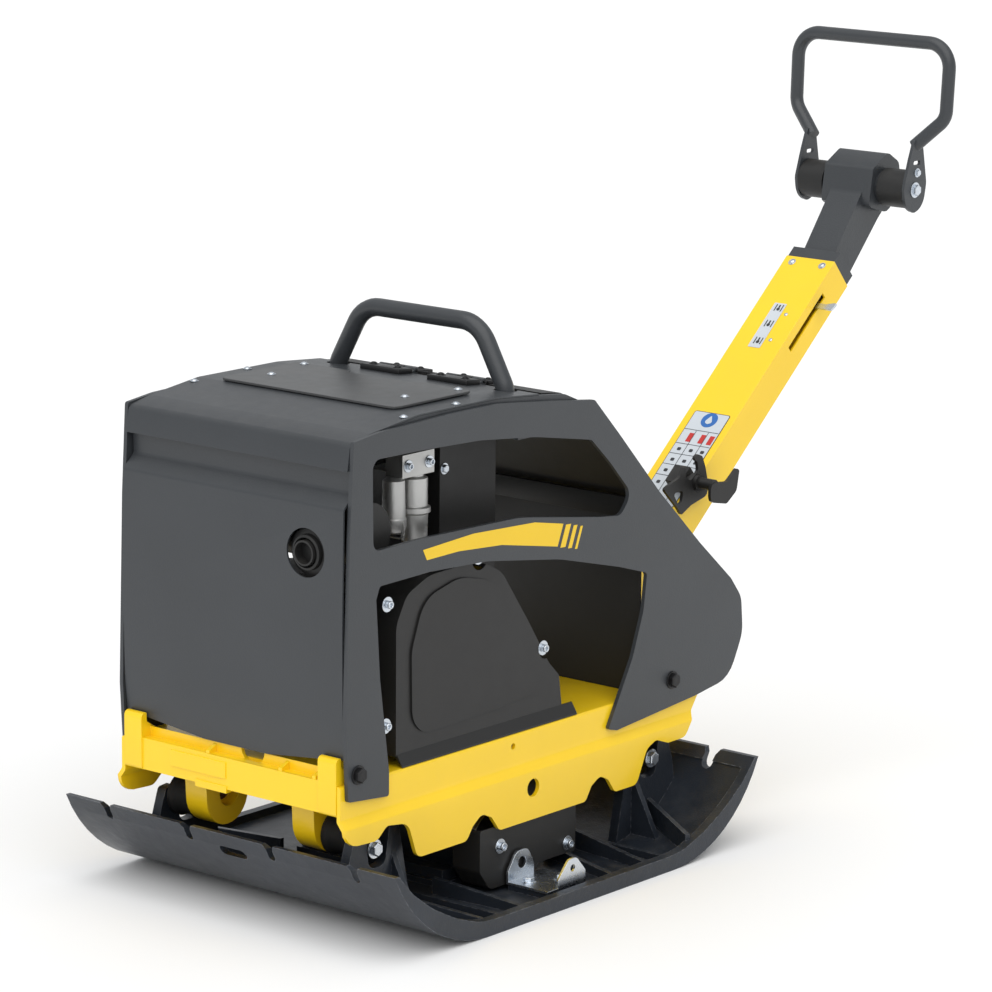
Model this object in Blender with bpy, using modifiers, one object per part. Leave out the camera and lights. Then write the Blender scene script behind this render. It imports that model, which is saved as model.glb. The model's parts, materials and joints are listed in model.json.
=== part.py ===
"""Reversible plate compactor, built as an assembly of separate parts.

Units are metres, +Z is up, the machine's front faces -Y and its left side is +X.
The origin is the centre of the base plate's underside. The drawbar points to +Y.
"""

import math

import bmesh
import bpy
from mathutils import Matrix, Vector

# ---- driving dimensions -------------------------------------------------------------------

GAP = 0.0003                    # clearance between parts that touch

PLATE_HALF_WIDTH = 0.300        # base plate
LIP_HEIGHT = 0.125
SKID_START = 0.202              # where the flat underside starts to curve up
SKID_RADIUS = 0.213
FLOOR_THICKNESS = 0.010
RIM_HEIGHT = 0.022
RIM_THICKNESS = 0.014
LIP_BAND_BOTTOM = 0.110         # the lips are thicker above this height
PAD_TOP = 0.018                 # machined pads for the exciter and the bracket
NOTCH_PITCH = 0.150

EAR_X = (0.1650, 0.1800)        # forked ears on the base plate, one per buffer
BUFFER_Y = 0.308
BUFFER_Z = 0.134
BUFFER_RADIUS = 0.030
BUFFER_X = (0.1175, 0.1645)
LUG_X = (0.0780, 0.1170)        # lugs of the upper mass that hold the buffers

DECK_TOP = 0.226
DECK_THICKNESS = 0.006
DECK_FRONT = -0.345
RAIL_FRONT = -0.389
RAIL_REAR = 0.395
RAIL_OUTER = 0.1985             # rail face behind the side plate
SKIRT_OUTER = 0.2070            # flared lower skirt

SIDE_INNER = 0.199              # side plate faces
SIDE_OUTER = 0.205

BELT_X = 0.165                  # belt plane
BELT_WIDTH = 0.011
PULLEY_FLOOR = 0.040
PULLEY_RIM = 0.049

EXCITER_Z = 0.070
EXCITER_HALF_PITCH = 0.042      # half the distance between the two shafts
EXCITER_HALF_LENGTH = 0.140
SHAFT_RADIUS = 0.012
GEAR_TEETH = 16
GEAR_MEAN_RADIUS = 0.0413
GEAR_TOOTH_DEPTH = 0.0018       # half the tooth height

CRANK_Y = -0.120
CRANK_Z = 0.350
CRANK_RADIUS = 0.015

MAST_ANGLE = math.radians(40.4)
MAST_PIVOT = Vector((0.0, 0.385, 0.2625))
MAST_HALF_WIDTH = 0.045
MAST_HALF_DEPTH = 0.02775
MAST_END = 0.7195
MAST_WALL = 0.004
MAST_PIN_RADIUS = 0.008

HUB_Y = 1.040                   # axis of the control loop
HUB_Z = 0.852
LOOP_TUBE_RADIUS = 0.0112
BAIL_TUBE_RADIUS = 0.0128

LATCH_Y = 0.561
LATCH_Z = 0.464
FLAP_HINGE_Y = 0.0240
FLAP_HINGE_Z = 0.6940

PIPE_X = 0.1326                 # exhaust outlet
PIPE_Z = 0.530

# ---- scene and materials ------------------------------------------------------------------

for old in list(bpy.data.objects):
    bpy.data.objects.remove(old, do_unlink=True)

machine = bpy.data.collections.new("plate_compactor")
cutters = bpy.data.collections.new("cutters")
bpy.context.scene.collection.children.link(machine)
bpy.context.scene.collection.children.link(cutters)


def finish(name, colour, roughness, metallic):
    """A named Principled material."""
    made = bpy.data.materials.new(name)
    made.use_nodes = True
    shader = made.node_tree.nodes["Principled BSDF"]
    shader.inputs["Base Color"].default_value = (*colour, 1.0)
    shader.inputs["Roughness"].default_value = roughness
    shader.inputs["Metallic"].default_value = metallic
    return made


YELLOW = finish("yellow_paint", (0.93, 0.62, 0.02), 0.38, 0.0)
GREY = finish("structured_grey_paint", (0.060, 0.066, 0.072), 0.50, 0.1)
CAST = finish("black_cast_iron", (0.035, 0.042, 0.052), 0.48, 0.4)
BLACK_PLASTIC = finish("black_plastic", (0.022, 0.022, 0.022), 0.55, 0.0)
BLACK_STEEL = finish("black_steel", (0.020, 0.021, 0.023), 0.42, 0.5)
RUBBER = finish("rubber", (0.015, 0.015, 0.015), 0.80, 0.0)
ZINC = finish("zinc_plate", (0.62, 0.65, 0.68), 0.30, 1.0)
STEEL = finish("ground_steel", (0.50, 0.50, 0.50), 0.35, 1.0)
ALUMINIUM = finish("cast_aluminium", (0.55, 0.55, 0.54), 0.45, 0.9)
ACCESS_GREY = finish("access_plate_grey", (0.150, 0.155, 0.160), 0.50, 0.1)

# local axes of the drawing planes: side view (Y, Z) and front view (X, Z)
SIDE_VIEW = Matrix(((0, 0, 1, 0), (1, 0, 0, 0), (0, 1, 0, 0), (0, 0, 0, 1)))
FRONT_VIEW = Matrix(((1, 0, 0, 0), (0, 0, -1, 0), (0, 1, 0, 0), (0, 0, 0, 1)))
ALONG_X = Matrix.Rotation(math.pi / 2, 4, "Y")
ALONG_Y = Matrix.Rotation(-math.pi / 2, 4, "X")

# the mast's own frame: x across, y along the box, z square to its upper face
MAST = Matrix.Translation(MAST_PIVOT) @ Matrix.Rotation(MAST_ANGLE, 4, "X")

# ---- modelling helpers --------------------------------------------------------------------


def own(obj, name, material):
    """Name an object, give it its material and put it in the machine's collection."""
    obj.name = name
    obj.data.name = name
    obj.data.materials.clear()
    obj.data.materials.append(material)
    for collection in list(obj.users_collection):
        collection.objects.unlink(obj)
    machine.objects.link(obj)
    return obj


def as_cutter(obj):
    """Move an object to the cutters: it is used by modifiers only."""
    for collection in list(obj.users_collection):
        collection.objects.unlink(obj)
    cutters.objects.link(obj)
    obj.hide_render = True
    obj.display_type = "WIRE"
    return obj


def boolean(obj, other, operation):
    """Cut or join another object with the exact solver."""
    step = obj.modifiers.new(operation.lower(), "BOOLEAN")
    step.operation = operation
    step.object = as_cutter(other)
    return obj


def cut(obj, *others):
    for other in others:
        boolean(obj, other, "DIFFERENCE")
    return obj


def join(obj, *others):
    for other in others:
        boolean(obj, other, "UNION")
    return obj


def rounded(corners, closed=True, steps=3):
    """Points of a path whose corners (point, radius) are replaced by arcs."""
    points = []
    count = len(corners)
    for index, (corner, radius) in enumerate(corners):
        corner = Vector(corner)
        if radius == 0 or (not closed and index in (0, count - 1)):
            points.append(corner)
            continue
        before = (Vector(corners[index - 1][0]) - corner).normalized()
        after = (Vector(corners[(index + 1) % count][0]) - corner).normalized()
        half = before.angle(after) / 2
        centre = corner + (before + after).normalized() * (radius / math.sin(half))
        start = corner + before * (radius / math.tan(half)) - centre
        end = corner + after * (radius / math.tan(half)) - centre
        sweep = start.angle(end)
        for step in range(steps + 1):
            part = step / steps
            blend = (start * math.sin((1 - part) * sweep) + end * math.sin(part * sweep)) / math.sin(sweep)
            points.append(centre + blend)
    return points


def outline(*corners, steps=2):
    """A closed flat outline from (a, b) or (a, b, corner radius)."""
    return rounded([((c[0], c[1], 0.0), c[2] if len(c) > 2 else 0.0) for c in corners], True, steps)


def arc(centre_a, centre_b, radius, start, end, steps):
    """Points on an arc, with its angles in degrees."""
    angles = [math.radians(start + (end - start) * step / steps) for step in range(steps + 1)]
    return [(centre_a + radius * math.cos(a), centre_b + radius * math.sin(a)) for a in angles]


def circle(centre_a, centre_b, radius, sides=24):
    return arc(centre_a, centre_b, radius, 0, 360 - 360 / sides, sides - 1)


def solid_from_curve(curve, place):
    """A closed mesh object from a filled curve."""
    source = bpy.data.objects.new("outline", curve)
    bpy.context.scene.collection.objects.link(source)
    graph = bpy.context.evaluated_depsgraph_get()
    mesh = bpy.data.meshes.new_from_object(source.evaluated_get(graph))
    bpy.data.objects.remove(source)
    work = bmesh.new()
    work.from_mesh(mesh)
    bmesh.ops.remove_doubles(work, verts=work.verts, dist=0.00001)
    bmesh.ops.transform(work, matrix=place, verts=work.verts)
    bmesh.ops.recalc_face_normals(work, faces=work.faces)
    work.to_mesh(mesh)
    work.free()
    obj = bpy.data.objects.new("solid", mesh)
    bpy.context.scene.collection.objects.link(obj)
    return obj


def sheet(loops, low, high, view):
    """A flat piece from one outer outline and any holes, between two depths of its view."""
    curve = bpy.data.curves.new("outline", "CURVE")
    curve.dimensions = "2D"
    curve.fill_mode = "BOTH"
    curve.extrude = abs(high - low) / 2
    for loop in loops:
        spline = curve.splines.new("POLY")
        spline.points.add(len(loop) - 1)
        for point, place in zip(spline.points, loop):
            point.co = (place[0], place[1], 0.0, 1.0)
        spline.use_cyclic_u = True
    middle = (low + high) / 2
    if view is FRONT_VIEW:
        middle = -middle
    return solid_from_curve(curve, view @ Matrix.Translation((0, 0, middle)))


def tube(points, radius, sides=2):
    """A round bar along a path."""
    curve = bpy.data.curves.new("path", "CURVE")
    curve.dimensions = "3D"
    curve.bevel_depth = radius
    curve.bevel_resolution = sides
    curve.use_fill_caps = True
    spline = curve.splines.new("POLY")
    spline.points.add(len(points) - 1)
    for point, place in zip(spline.points, points):
        point.co = (*place, 1.0)
    return solid_from_curve(curve, Matrix.Identity(4))


def box(low, high, place=None):
    """A box between two corners, in the place's own axes."""
    low, high = Vector(low), Vector(high)
    bpy.ops.mesh.primitive_cube_add(size=1.0)
    obj = bpy.context.object
    shape = Matrix.Translation((low + high) / 2) @ Matrix.Diagonal((*(high - low), 1.0))
    obj.data.transform((place or Matrix.Identity(4)) @ shape)
    return obj


def cylinder(centre, radius, low, high, axis="X", sides=20, place=None):
    """A round bar along X, Y or Z. The centre's coordinate on that axis is ignored."""
    index = "XYZ".index(axis)
    middle = Vector(centre)
    middle[index] = (low + high) / 2
    bpy.ops.mesh.primitive_cylinder_add(vertices=sides, radius=radius, depth=high - low)
    obj = bpy.context.object
    turn = {"X": ALONG_X, "Y": ALONG_Y, "Z": Matrix.Identity(4)}[axis]
    obj.data.transform((place or Matrix.Identity(4)) @ Matrix.Translation(middle) @ turn)
    obj.data.shade_smooth()
    obj.data.set_sharp_from_angle(angle=math.radians(40))
    return obj


def turned(profile, centre, steps=20, axis="X", closed=False):
    """A turned piece. The profile (radius, along) runs from the high end down the outside."""
    mesh = bpy.data.meshes.new("profile")
    count = len(profile)
    edges = [(index, index + 1) for index in range(count - 1)]
    if closed:
        edges.append((count - 1, 0))
    mesh.from_pydata([(radius, 0.0, along) for radius, along in profile], edges, [])
    obj = bpy.data.objects.new("turned", mesh)
    bpy.context.scene.collection.objects.link(obj)
    spin = obj.modifiers.new("turn", "SCREW")
    spin.steps = steps
    spin.render_steps = steps
    spin.use_merge_vertices = True
    spin.merge_threshold = 0.00005
    turn = {"X": ALONG_X, "Y": ALONG_Y, "Z": Matrix.Identity(4)}[axis]
    obj.matrix_world = Matrix.Translation(centre) @ turn
    return obj


def ring(centre, outer, inner, low, high, axis="X", steps=20):
    """A turned sleeve between two places on its axis."""
    index = "XYZ".index(axis)
    place = Vector(centre)
    place[index] = 0.0
    profile = [(inner, high), (outer, high), (outer, low), (inner, low)]
    return turned(profile, place, steps, axis, closed=True)


def bevel(obj, width, segments=1, angle=40):
    """Break the sharp edges of a finished piece."""
    step = obj.modifiers.new("edge", "BEVEL")
    step.width = width
    step.segments = segments
    step.limit_method = "ANGLE"
    step.angle_limit = math.radians(angle)
    return obj


# ---- lower mass: base plate ---------------------------------------------------------------


def mirrored_ends(half):
    """A path across the plate from the outline of its rear half, drawn from the rear end inwards."""
    return list(half) + [(-y, z) for y, z in reversed(half)]


def skid_arc(inset, top=LIP_HEIGHT, steps=10):
    """Rear end of the skid curve, from a height on the lip down to the flat underside."""
    radius = SKID_RADIUS - inset
    start = math.degrees(math.asin((SKID_RADIUS - top) / radius))
    return arc(SKID_START, SKID_RADIUS, radius, -start, -90, steps)


def floor_height(y):
    """Height of the plate's inner floor at a distance from its middle."""
    beyond = max(abs(y) - SKID_START, 0.0)
    radius = SKID_RADIUS - FLOOR_THICKNESS
    return SKID_RADIUS - math.sqrt(radius ** 2 - beyond ** 2)


def notch(x, half, bottom, low, high):
    """Cutter for a round-bottomed notch with a flared mouth in one lip."""
    mouth = half + 0.004
    loop = [(x + mouth, 0.150), (x - mouth, 0.150), (x - mouth, 0.1245), (x - half, 0.1180)]
    loop += arc(x, bottom + half, half, 180, 360, 8) + [(x + half, 0.1180), (x + mouth, 0.1245)]
    return sheet([loop], low, high, FRONT_VIEW)


def rib(start, end, start_height, end_height, thickness=0.007):
    """A sloped stiffening rib on the plate's floor."""
    start, end = Vector((*start, 0)), Vector((*end, 0))
    across = (end - start).normalized().cross(Vector((0, 0, 1)))
    length = (end - start).length
    view = Matrix.Identity(4)
    along = (end - start).normalized()
    for row in range(3):
        view[row][0] = along[row]
        view[row][1] = Vector((0, 0, 1))[row]
        view[row][2] = across[row]
    view.translation = start
    root_start = floor_height(start.y) - 0.005
    root_end = floor_height(end.y) - 0.005
    loop = [(0, root_start), (length, root_end), (length, end_height), (0, start_height)]
    return sheet([loop], -thickness / 2, thickness / 2, view)


def ear(side_x, side_y):
    """Forked ear that takes a buffer's bolt, with a gusset on its outer side."""
    profile = [(0.222, 0.0085), (0.241, 0.100, 0.020), (0.251, 0.148, 0.006), (0.268, 0.150, 0.004),
               (0.2745, 0.114, 0.006), (0.278, 0.093, 0.013), (0.310, 0.093, 0.013), (0.3135, 0.114, 0.006),
               (0.318, 0.148, 0.004), (0.338, 0.146, 0.006), (0.352, 0.104), (0.356, 0.074), (0.318, 0.040),
               (0.278, 0.018)]
    loop = [(side_y * point[0], point[1]) for point in outline(*profile, steps=4)]
    low, high = sorted((side_x * EAR_X[0], side_x * EAR_X[1]))
    plate = sheet([loop], low, high, SIDE_VIEW)
    gusset = [(side_x * 0.174, 0.016), (side_x * 0.174, 0.120), (side_x * 0.190, 0.085), (side_x * 0.226, 0.016)]
    depth = sorted((side_y * 0.256, side_y * 0.265))
    return plate, sheet([gusset], *depth, FRONT_VIEW)


# the side rims run up to the lips along a line that is flatter than the skid curve
rim_line = rounded([((0.3880, LIP_HEIGHT, 0), 0), ((0.360, 0.0950, 0), 0.05), ((0.320, 0.0660, 0), 0.15),
                    ((0.270, 0.0405, 0), 0.20), ((0.223, 0.0245, 0), 0.10), ((0.190, RIM_HEIGHT, 0), 0)],
                   closed=False, steps=3)
rim_line = [(point[0], point[1]) for point in rim_line]
plate_outline = mirrored_ends(skid_arc(0.0)) + mirrored_ends(rim_line)[::-1]
base_plate = own(sheet([plate_outline], -PLATE_HALF_WIDTH, PLATE_HALF_WIDTH, SIDE_VIEW), "base_plate", CAST)
pocket_half = [(0.3816, 0.160), (0.3816, LIP_HEIGHT), (0.3734, LIP_BAND_BOTTOM)]
pocket_half += skid_arc(FLOOR_THICKNESS, LIP_BAND_BOTTOM)
pocket_side = PLATE_HALF_WIDTH - RIM_THICKNESS
cut(base_plate, sheet([mirrored_ends(pocket_half)], -pocket_side, pocket_side, SIDE_VIEW))
for step in (-1.5, -0.5, 0.5, 1.5):
    cut(base_plate, notch(step * NOTCH_PITCH, 0.0058, 0.1010, -0.45, -0.33),
        notch(step * NOTCH_PITCH, 0.0092, 0.0985, 0.33, 0.45))
carry_slot = outline((-0.024, 0.090, 0.0066), (0.024, 0.090, 0.0066), (0.024, 0.104, 0.0066),
                     (-0.024, 0.104, 0.0066))
cut(base_plate, sheet([carry_slot], -0.45, -0.34, FRONT_VIEW), sheet([carry_slot], 0.34, 0.45, FRONT_VIEW))
join(base_plate, box((-0.135, -0.105, 0.005), (0.135, 0.105, PAD_TOP)))
join(base_plate, box((0.206, -0.050, 0.005), (0.276, 0.028, PAD_TOP)))
for side in (-1, 1):
    join(base_plate,
         rib((side * 0.140, 0.170), (side * 0.290, 0.150), 0.038, 0.021),
         rib((side * 0.110, 0.330), (side * 0.290, 0.245), 0.075, 0.040),
         rib((side * 0.140, 0.112), (side * 0.290, 0.075), 0.028, 0.021),
         rib((side * 0.140, -0.130), (side * 0.290, -0.120), 0.034, 0.021),
         rib((side * 0.190, -0.262), (side * 0.290, -0.205), 0.050, 0.024))
    join(base_plate, *ear(side, 1), *ear(side, -1))
join(base_plate, rib((-0.290, 0.195), (0.290, 0.195), 0.020, 0.020), rib((-0.290, -0.165), (0.290, -0.165), 0.020, 0.020))

# ---- lower mass: exciter ------------------------------------------------------------------


def stadium(radius, steps=7):
    """Outline round both exciter shafts."""
    left = arc(-EXCITER_HALF_PITCH, EXCITER_Z, radius, 90, 270, steps)
    right = arc(EXCITER_HALF_PITCH, EXCITER_Z, radius, -90, 90, steps)
    return left + right


def exciter_cover(name, side, bore):
    """End cover of the exciter, with a boss on each shaft's line."""
    inner = side * EXCITER_HALF_LENGTH + side * GAP
    outer = side * (EXCITER_HALF_LENGTH + 0.009)
    low, high = sorted((inner, outer))
    cover = own(sheet([stadium(0.0475)], low, high, SIDE_VIEW), name, CAST)
    if bore:
        cut(cover, cylinder((0, -EXCITER_HALF_PITCH, EXCITER_Z), SHAFT_RADIUS + 0.0005, low - 0.01, high + 0.01))
    return cover


exciter_housing = own(sheet([stadium(0.0510), stadium(0.0450)], -EXCITER_HALF_LENGTH, EXCITER_HALF_LENGTH,
                            SIDE_VIEW), "exciter_housing", CAST)
join(exciter_housing, box((-0.130, -0.100, 0.0185), (0.130, -0.070, 0.034)))
join(exciter_housing, box((-0.130, 0.070, 0.0185), (0.130, 0.100, 0.034)))
exciter_cover("exciter_end_cover_left", 1, True)
exciter_cover("exciter_end_cover_right", -1, False)


def eccentric_shaft(name, y, length):
    """Exciter shaft with its half-round weight, which hangs down at rest."""
    shaft = own(cylinder((0, y, EXCITER_Z), SHAFT_RADIUS, -0.136, length, sides=24), name, STEEL)
    half_round = arc(y, EXCITER_Z, 0.036, 180, 360, 8)
    return join(shaft, sheet([half_round], -0.085, 0.110, SIDE_VIEW))


def gear(name, y, phase):
    """Spur gear whose rim is a smooth wave with one crest per tooth."""
    loop = []
    steps = GEAR_TEETH * 5
    for step in range(steps):
        angle = 2 * math.pi * step / steps
        radius = GEAR_MEAN_RADIUS + GEAR_TOOTH_DEPTH * math.cos(GEAR_TEETH * angle + phase)
        loop.append((y + radius * math.cos(angle), EXCITER_Z + radius * math.sin(angle)))
    bore = circle(y, EXCITER_Z, SHAFT_RADIUS + GAP, 24)
    return own(sheet([loop, bore], -0.122, -0.104, SIDE_VIEW), name, STEEL)


eccentric_shaft("eccentric_shaft_front", -EXCITER_HALF_PITCH, 0.178)
eccentric_shaft("eccentric_shaft_rear", EXCITER_HALF_PITCH, 0.136)
gear("exciter_gear_front", -EXCITER_HALF_PITCH, 0.0)
gear("exciter_gear_rear", EXCITER_HALF_PITCH, math.pi)


def pulley(name, y, z, bore):
    """Grooved belt pulley."""
    half = BELT_WIDTH / 2 + 0.0006
    profile = [(bore, 0.010), (PULLEY_RIM, 0.010), (PULLEY_RIM, half), (PULLEY_FLOOR - GAP, half),
               (PULLEY_FLOOR - GAP, -half), (PULLEY_RIM, -half), (PULLEY_RIM, -0.010), (bore, -0.010)]
    return own(turned(profile, (BELT_X, y, z), 20, closed=True), name, STEEL)


pulley("exciter_pulley", -EXCITER_HALF_PITCH, EXCITER_Z, SHAFT_RADIUS + GAP)
pulley("clutch_pulley", CRANK_Y, CRANK_Z, CRANK_RADIUS + GAP)


def belt_loop(radius):
    """Outline of a belt round both pulleys, at a distance from their centres."""
    lower = Vector((-EXCITER_HALF_PITCH, EXCITER_Z))
    upper = Vector((CRANK_Y, CRANK_Z))
    slope = math.degrees(math.atan2(*(upper - lower).yx))
    return (arc(*upper, radius, slope - 90, slope + 90, 8) + arc(*lower, radius, slope + 90, slope + 270, 8))


own(sheet([belt_loop(PULLEY_FLOOR + 0.0075), belt_loop(PULLEY_FLOOR + 0.0012)], BELT_X - BELT_WIDTH / 2,
          BELT_X + BELT_WIDTH / 2, SIDE_VIEW), "drive_belt", RUBBER)

# lower belt cover: a tray that is open towards the exciter and at its top
cover_low_z, cover_high_z = 0.0315, 0.104
cover_sump_z = 0.0165           # the cover is deeper round the pulley
cover_outline = outline((0.104, cover_low_z, 0.004), (0.104, cover_high_z, 0.004), (-0.104, cover_high_z, 0.004),
                        (-0.104, 0.045, 0.010), (-0.082, cover_sump_z, 0.015), (0.004, cover_sump_z, 0.010),
                        (0.022, cover_low_z, 0.010), steps=4)
lower_belt_cover = own(sheet([cover_outline], 0.1515, 0.200, SIDE_VIEW), "lower_belt_cover", BLACK_STEEL)
cover_hollow = outline((0.101, 0.0345), (0.101, 0.20), (-0.101, 0.20), (-0.101, 0.0465), (-0.0805, 0.0195),
                       (0.0025, 0.0195), (0.0205, 0.0345))
cut(lower_belt_cover, sheet([cover_hollow], 0.140, 0.1975, SIDE_VIEW))
cut(lower_belt_cover, cylinder((0, -EXCITER_HALF_PITCH, EXCITER_Z), PULLEY_RIM + 0.0050, 0.140, 0.180))

# zinc-plated bracket with two ears on a raised pad at the plate's left side
bracket_x, bracket_y = (0.2035, 0.2775), (-0.0520, 0.0300)
plate_bracket = own(box((bracket_x[0], bracket_y[0], PAD_TOP + GAP), (bracket_x[1], bracket_y[1], PAD_TOP + 0.0040)),
                    "plate_bracket", ZINC)
tall_ear = outline((-0.052, PAD_TOP + 0.001), (0.004, PAD_TOP + 0.001), (0.004, 0.040, 0.012), (-0.010, 0.062, 0.012),
                   (-0.034, 0.062, 0.012), (-0.052, 0.036, 0.012))
low_ear = outline((-0.030, PAD_TOP + 0.001), (0.030, PAD_TOP + 0.001), (0.030, 0.036, 0.006), (0.010, 0.058, 0.010),
                  (-0.006, 0.058, 0.010), (-0.030, 0.032, 0.008))
for low, ear_shape, eye in ((bracket_x[0], tall_ear, circle(-0.022, 0.044, 0.0085, 16)),
                            (bracket_x[1] - 0.004, low_ear, circle(0.002, 0.044, 0.0050, 12))):
    join(plate_bracket, sheet([ear_shape, eye], low, low + 0.004, SIDE_VIEW))

# ---- rubber buffers -----------------------------------------------------------------------

for end, side_y in (("front", -1), ("rear", 1)):
    for hand, side_x in (("left", 1), ("right", -1)):
        low, high = sorted((side_x * BUFFER_X[0], side_x * BUFFER_X[1]))
        waist = 0.004
        profile = [(0, high), (BUFFER_RADIUS, high), (BUFFER_RADIUS, high - 0.006),
                   (BUFFER_RADIUS - waist, high - 0.012), (BUFFER_RADIUS - waist, low + 0.012),
                   (BUFFER_RADIUS, low + 0.006), (BUFFER_RADIUS, low), (0, low)]
        own(turned(profile, (0, side_y * BUFFER_Y, BUFFER_Z), 24), f"buffer_{end}_{hand}", RUBBER)

# ---- upper mass: console frame ------------------------------------------------------------


def buffer_lug(side_x, side_y, top):
    """Round-bottomed lug that hangs down to a buffer's inner end."""
    radius = 0.041
    bottom = [(side_y * y, z) for y, z in arc(BUFFER_Y, BUFFER_Z + 0.013, radius, 180, 360, 14)]
    loop = bottom + [(side_y * (BUFFER_Y + radius + 0.004), top), (side_y * (BUFFER_Y - radius - 0.004), top)]
    low, high = sorted((side_x * LUG_X[0], side_x * LUG_X[1]))
    return sheet([loop], low, high, SIDE_VIEW)


wall = DECK_THICKNESS
section = [(RAIL_OUTER, DECK_TOP, 0.004), (RAIL_OUTER, 0.180, 0.006), (SKIRT_OUTER, 0.169, 0.006),
           (SKIRT_OUTER, 0.088), (SKIRT_OUTER - wall, 0.088), (SKIRT_OUTER - wall, 0.1665, 0.004),
           (RAIL_OUTER - wall, 0.1775, 0.004), (RAIL_OUTER - wall, DECK_TOP - wall)]
mirrored = [(-corner[0], *corner[1:]) for corner in reversed(section)]
rail_section = outline(*(section + mirrored), steps=3)
console_frame = own(sheet([rail_section], RAIL_FRONT, RAIL_REAR, FRONT_VIEW), "console_frame", YELLOW)
deck_half = RAIL_OUTER - wall
cut(console_frame, box((-deck_half, RAIL_FRONT - 0.01, 0.20), (deck_half, DECK_FRONT, 0.24)))

# scalloped lower edge of both skirts, with three notches and a foot at each end
scallop = [(-0.45, 0.05), (-0.45, 0.192), (-0.3895, 0.187), (-0.3885, 0.1445, 0.026), (-0.325, 0.1415, 0.018),
           (-0.305, 0.1580, 0.012), (-0.262, 0.1520, 0.022), (-0.243, 0.100, 0.014),
           (-0.141, 0.100, 0.012), (-0.128, 0.118, 0.010), (-0.109, 0.1315, 0.014), (-0.088, 0.122, 0.010),
           (-0.071, 0.100, 0.010), (0.117, 0.100, 0.010), (0.130, 0.120, 0.010), (0.149, 0.1305, 0.014),
           (0.168, 0.121, 0.010), (0.183, 0.100, 0.010), (0.233, 0.100, 0.014), (0.256, 0.148, 0.020),
           (0.277, 0.1565, 0.012), (0.305, 0.1465, 0.014), (0.345, 0.147, 0.016), (0.3985, 0.222), (0.45, 0.222),
           (0.45, 0.05)]
cut(console_frame, sheet([outline(*scallop, steps=4)], -0.25, 0.25, SIDE_VIEW))
for side in (-1, 1):
    depth = sorted((side * 0.18, side * 0.25))
    cut(console_frame, cylinder((0, 0.001, 0.145), 0.013, *depth, sides=20))
    cut(console_frame, cylinder((0, -0.033, 0.209), 0.0045, *depth, sides=12))
cut(console_frame, box((0.145, -0.180, 0.20), (0.186, 0.030, 0.24)))

join(console_frame, buffer_lug(1, 1, DECK_TOP - 0.002), buffer_lug(-1, 1, DECK_TOP - 0.002))
join(console_frame, box((-0.185, 0.356, 0.170), (0.185, 0.362, DECK_TOP - 0.002)))

# ears that carry the mast's pin
for side in (-1, 1):
    low, high = sorted((side * 0.0468, side * 0.0548))
    mast_ear = outline((0.335, DECK_TOP - 0.003), (0.394, DECK_TOP - 0.003), (0.4075, 0.262, 0.022),
                       (0.396, 0.286, 0.018), (0.372, 0.286, 0.018), (0.350, 0.250, 0.010))
    join(console_frame, sheet([mast_ear], low, high, SIDE_VIEW))
cut(console_frame, cylinder(MAST_PIVOT, MAST_PIN_RADIUS + GAP, -0.07, 0.07, sides=20))

# ---- upper mass: front crossmember --------------------------------------------------------

beam_half = 0.1915
beam_section = [(-0.388, 0.185), (-0.379, 0.185), (-0.379, 0.222), (-0.3605, 0.222), (-0.3605, 0.193),
                (-0.3455, 0.193), (-0.3455, 0.230), (-0.366, 0.230), (-0.366, 0.2405), (-0.372, 0.2425),
                (-0.372, 0.229), (-0.388, 0.229)]
front_crossmember = own(sheet([beam_section], -beam_half, beam_half, SIDE_VIEW), "front_crossmember", YELLOW)
for side in (-1, 1):
    low, high = sorted((side * 0.1600, side * (beam_half + 0.0006)))
    boss = outline((-0.3905, 0.1835, 0.006), (-0.3560, 0.1835), (-0.3560, 0.2360), (-0.3795, 0.2500, 0.004),
                   (-0.3797, 0.2630, 0.002), (-0.3905, 0.2630, 0.007), steps=4)
    join(front_crossmember, sheet([boss], low, high, SIDE_VIEW))
    join(front_crossmember, buffer_lug(side, -1, DECK_TOP - DECK_THICKNESS - 0.0006))
    low, high = sorted((side * (LUG_X[0] - 0.010), side * (LUG_X[0] + 0.016)))
    cut(front_crossmember, cylinder((0, 0.004 - BUFFER_Y, BUFFER_Z + 0.016), 0.019, low, high, sides=24))
# raised pad and tab on the front face, webs on the ledge and a round cut-out in the upstand
join(front_crossmember, box((-0.107, -0.3900, 0.200), (-0.006, -0.3870, 0.2225)))
join(front_crossmember, box((-0.061, -0.3900, 0.1800), (-0.004, -0.3780, 0.1900)))
web_loop = [(-0.3875, 0.2280), (-0.3710, 0.2280), (-0.3710, 0.2400), (-0.3875, 0.2330)]
for x in (-0.040, 0.091, 0.151):
    join(front_crossmember, sheet([web_loop], x - 0.003, x + 0.003, SIDE_VIEW))
cut(front_crossmember, cylinder((0.028, 0, 0.2440), 0.0210, -0.376, -0.365, "Y", 28))

# ---- upper mass: side plates --------------------------------------------------------------

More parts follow.
